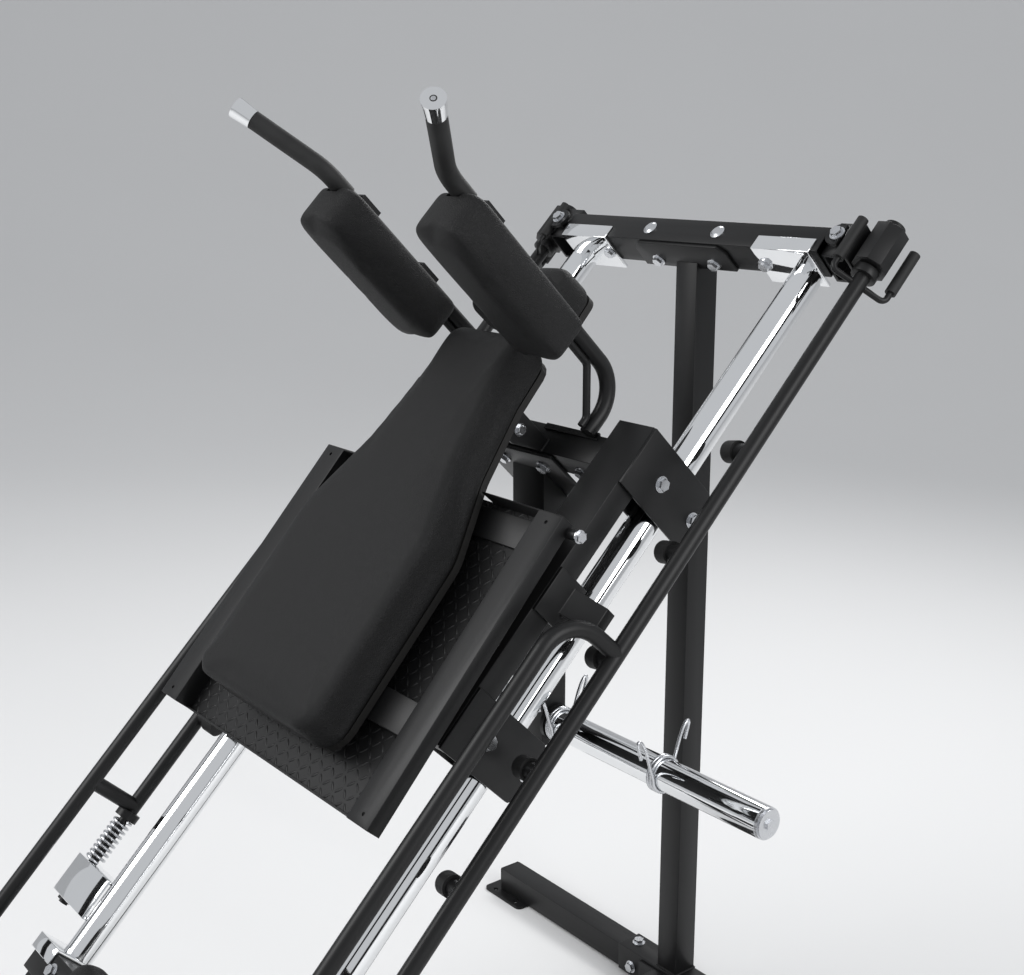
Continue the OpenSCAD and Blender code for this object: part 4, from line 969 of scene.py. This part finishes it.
class MACHINE_OT_springs(bpy.types.Operator):
    """Wind the bars' coil springs and the sleeves' spring collars"""
    bl_idname = "machine.springs"
    bl_label = "Springs and collars"

    def execute(self, context):
        low, high, radius, turns, wire_radius = 648.8, 728.2, 14.5, 9, 2.5
        coils = [coil_path(k * BAR_X, low, high, BAR_W, radius, turns) for k in BOTH]
        wires("bar_coils", "frame", coils, wire_radius * MM, "zinc_hardware", 14, ["bar_springs"])
        for side in ("left", "right"):
            for row in ("inner", "outer"):
                self.collar(f"collar_{side}_{row}", side == "left")
        return {"FINISHED"}

    def collar(self, node, left):
        """A spring collar: a coil close round its sleeve, whose ends stand up as two bent legs."""
        low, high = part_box(node)
        sleeve_low, sleeve_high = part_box("weight_sleeves")
        middle = (sleeve_low + sleeve_high) / 2
        axis = Vector(((low.x + high.x) / 2, middle.y, middle.z))
        wire, gap, turns, steps, play = 5.4, 0.9, 2.5, 32, 0.3
        radius, pitch = SLEEVE_RADIUS + wire / 2 + play, wire + gap
        coil = []
        for i in range(int(steps * turns) + 1):
            a = math.radians(90 + 360 * i / steps)
            coil.append(Vector((pitch * (i / steps - turns / 2), radius * math.sin(a), radius * math.cos(a))))

        def leg(start, lean):
            """Points of a leg, given as height over the coil's end and distance to the side."""
            shape = [
                (44, -1), (56, 0), (62, 1.2), (66.5, 3), (69.2, 6), (68.6, 9), (65, 11), (58, 11.6), (40, 12)
            ]
            return [start + Vector((0, lean * (h * 0.35 + d), h)) for h, d in shape]

        line = leg(coil[0], 1)[::-1] + coil + leg(coil[-1], -1)
        if left:
            line = [Vector((-p.x, p.y, p.z)) for p in line]
        wires(node + "_wire", node, [[axis + p * MM for p in line]], wire / 2 * MM, "zinc_hardware",
              replaces=[node])


class MACHINE_OT_small_fasteners(bpy.types.Operator):
    """Add the small bolts and screws that the CAD parts leave out"""
    bl_idname = "machine.small_fasteners"
    bl_label = "Small fasteners"

    def execute(self, context):
        across = Vector((1, 0, 0))
        off_slope = Vector((0, -1 / ROOT2, 1 / ROOT2))
        inner, outer, s, w = 308, 330, 1413, 146        # ends and place of the tray's spacers
        bolts("tray_bolts", "carriage", [(slope(k * outer, s, w), across * k) for k in BOTH],
              Across=0.017, Head=0.006, Washer=0.020, Washer_height=0.0015)
        spans = [(slope(k * inner, s, w), slope(k * outer, s, w), 8) for k in BOTH]
        discs("tray_spacers", "carriage", spans, "frame_paint")
        bolts("pad_bracket_bolts", "carriage", [(slope(k * 70.2, 1554, 141), across * k) for k in BOTH],
              Across=0.017, Head=0.006, Washer=0.022, Washer_height=0.0015)
        for side, k in SIDES:
            ends = [slope(k * BAR_X, s, BAR_W) for s in (2010, 2024)]
            discs("bar_ring_" + side, "safety_bar_" + side, [(*ends, 20.5)], "frame_paint")
        self.cap_screws()
        screws = [
            (pad_frame() @ Vector((k * 252, t, lift)), off_slope)
            for k in BOTH for t, lift in ((101, -3.9), (406, -13.9))
        ]
        bolts("cross_bar_screws", "carriage", screws, slot="frame_paint",
              Across=0.008, Head=0.003, Washer=0.010, Washer_height=0.0008)
        return {"FINISHED"}

    def cap_screws(self):
        """A countersunk screw in each handle cap: a black ring of painted shade for its recess, with the screw inside
        it.
        """
        sunk, rim, face = -4, 0.15, 0.45                # along the arm, from the cap's face
        rims, heads = [], []
        for k in BOTH:
            way = Vector((k * ARM_END.x, 0, ARM_END.z)).normalized()
            end = Vector((k * (SHOULDER_X + ARM_END.x), ARM_S, ARM_TOP_W + ARM_END.z)) + way * CAP_END
            at = [slope(*(end + way * d)) for d in (sunk, rim, face)]
            rims.append((at[0], at[1], 5.2))
            heads.append((at[0], at[2], 3.4))
        # A black disc standing proud of the cap's face: painted shade of the countersunk recess round the screw.
        discs("cap_recess_shade_rings", "carriage", rims, "black_plastic")
        discs("cap_screws", "carriage", heads, "zinc_hardware")


class MACHINE_OT_welds(bpy.types.Operator):
    """Lay weld beads where the frame's tubes and plates meet"""
    bl_idname = "machine.welds"
    bl_label = "Weld beads"

    def execute(self, context):
        low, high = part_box("rear_post")
        foot = [Vector((x, y, low.z)) for x, y in (
            (low.x, low.y), (high.x, low.y), (high.x, high.y), (low.x, high.y), (low.x, low.y))]
        head = [slope(25, 2021, w) for w in (-9, 18)]
        beads("post_welds", "frame", [foot, head])
        seams = [[slope(k * x, s, w) for x, s, w in seam] for k in BOTH for seam in CARRIAGE_SEAMS]
        beads("carriage_welds", "carriage", seams)
        return {"FINISHED"}


class MACHINE_OT_stage(bpy.types.Operator):
    """Set up the floor, the lights and the camera"""
    bl_idname = "machine.stage"
    bl_label = "Studio"

    def execute(self, context):
        own = context.scene.machine_stage
        self.backdrop(own)
        self.lights(own)
        self.camera(own)
        return {"FINISHED"}

    def backdrop(self, own):
        made = Finish("Studio floor", Roughness=0.75, Specular_IOR_Level=0.2)
        spread = made.noise(0.7, 2.0)
        made.colour(spread, own.floor_colour, 0.985, 1.015)
        reach, rise, bend, half_width, steps = 14.0, 11.0, 9.0, 22, 40      # in metres
        profile = [(-reach, 0.0), (reach - bend, 0.0)]
        profile += [
            (reach - bend + bend * math.sin(a), bend * (1 - math.cos(a)))
            for a in (math.pi / 2 * k / steps for k in range(1, steps + 1))
        ]
        profile.append((reach, rise))
        turn = Matrix.Rotation(math.radians(51.7), 3, "Z")      # square to the camera's view
        verts = [turn @ Vector((x, y, z)) for y, z in profile for x in (-half_width, half_width)]
        faces = [(2 * i, 2 * i + 1, 2 * i + 3, 2 * i + 2) for i in range(len(profile) - 1)]
        mesh = mesh_of("studio_floor", verts, faces)
        smooth(mesh, 60)
        add_object("studio_floor", mesh, made.material)

    def lights(self, own):
        world = bpy.data.worlds.new("Studio")
        bpy.context.scene.world = world
        bpy.context.scene.view_settings.view_transform = "Standard"
        world.use_nodes = True
        world.node_tree.nodes["Background"].inputs[0].default_value = (0.92, 0.94, 0.97, 1)
        world.node_tree.nodes["Background"].inputs[1].default_value = own.world_light
        plans = [
            ("key", (-1.6, -2.6, 3.6), (2.6, 2.6), own.key_power),
            ("fill", (3.4, 0.9, 2.4), (1.6, 2.6), own.fill_power),
            ("back", (-1.0, 3.4, 3.2), (2.4, 1.2), own.fill_power),
        ]
        target = Vector((0, 0.1, 0.9))
        for name, place, size, power in plans:
            lamp = bpy.data.lights.new(name, "AREA")
            lamp.shape, lamp.size, lamp.size_y, lamp.energy = "RECTANGLE", size[0], size[1], power
            holder = bpy.data.objects.new(name, lamp)
            bpy.context.scene.collection.objects.link(holder)
            holder.location = place
            holder.rotation_mode = "QUATERNION"
            holder.rotation_quaternion = (target - Vector(place)).to_track_quat("-Z", "Y")

    def camera(self, own):
        lens = bpy.data.cameras.new("Camera")
        lens.sensor_width = 36.0
        lens.lens = 18.0 / math.tan(own.field_of_view / 2)
        camera = bpy.data.objects.new("Camera", lens)
        bpy.context.scene.collection.objects.link(camera)
        azimuth, elevation = math.radians(CAMERA_AZIMUTH), math.radians(CAMERA_ELEVATION)
        back = Vector((
            math.sin(azimuth) * math.cos(elevation), -math.cos(azimuth) * math.cos(elevation),
            math.sin(elevation)
        ))
        camera.location = CAMERA_PLACE
        camera.rotation_mode = "QUATERNION"
        camera.rotation_quaternion = (-back).to_track_quat("-Z", "Y")
        lens.clip_end = 60
        bpy.context.scene.camera = camera


OPERATORS = [
    MACHINE_OT_carried_parts, MACHINE_OT_steel_edges, MACHINE_OT_cushions, MACHINE_OT_tread,
    MACHINE_OT_springs, MACHINE_OT_small_fasteners, MACHINE_OT_welds, MACHINE_OT_stage,
]
SETTINGS = {
    "machine_finishes": MachineFinishes, "machine_cushions": MachineCushions,
    "machine_details": MachineDetails, "machine_stage": MachineStage,
}


class MACHINE_PT_panel(bpy.types.Panel):
    """Buttons and settings of the machine"""
    bl_label = "Leg press machine"
    bl_space_type = "VIEW_3D"
    bl_region_type = "UI"
    bl_category = "Machine"

    def draw(self, context):
        for step in OPERATORS:
            self.layout.operator(step.bl_idname)
        for name, group in SETTINGS.items():
            box = self.layout.box()
            for key in group.__annotations__:
                box.prop(getattr(context.scene, name), key)


def register():
    for cls in [*SETTINGS.values(), *OPERATORS, MACHINE_PT_panel]:
        bpy.utils.register_class(cls)
    for name, group in SETTINGS.items():
        setattr(bpy.types.Scene, name, bpy.props.PointerProperty(type=group))


def unregister():
    for name in SETTINGS:
        delattr(bpy.types.Scene, name)
    for cls in [MACHINE_PT_panel, *OPERATORS[::-1], *SETTINGS.values()]:
        bpy.utils.unregister_class(cls)


def main():
    register()
    for step in OPERATORS:
        group, name = step.bl_idname.split(".")
        getattr(getattr(bpy.ops, group), name)()


if __name__ == "__main__":
    main()
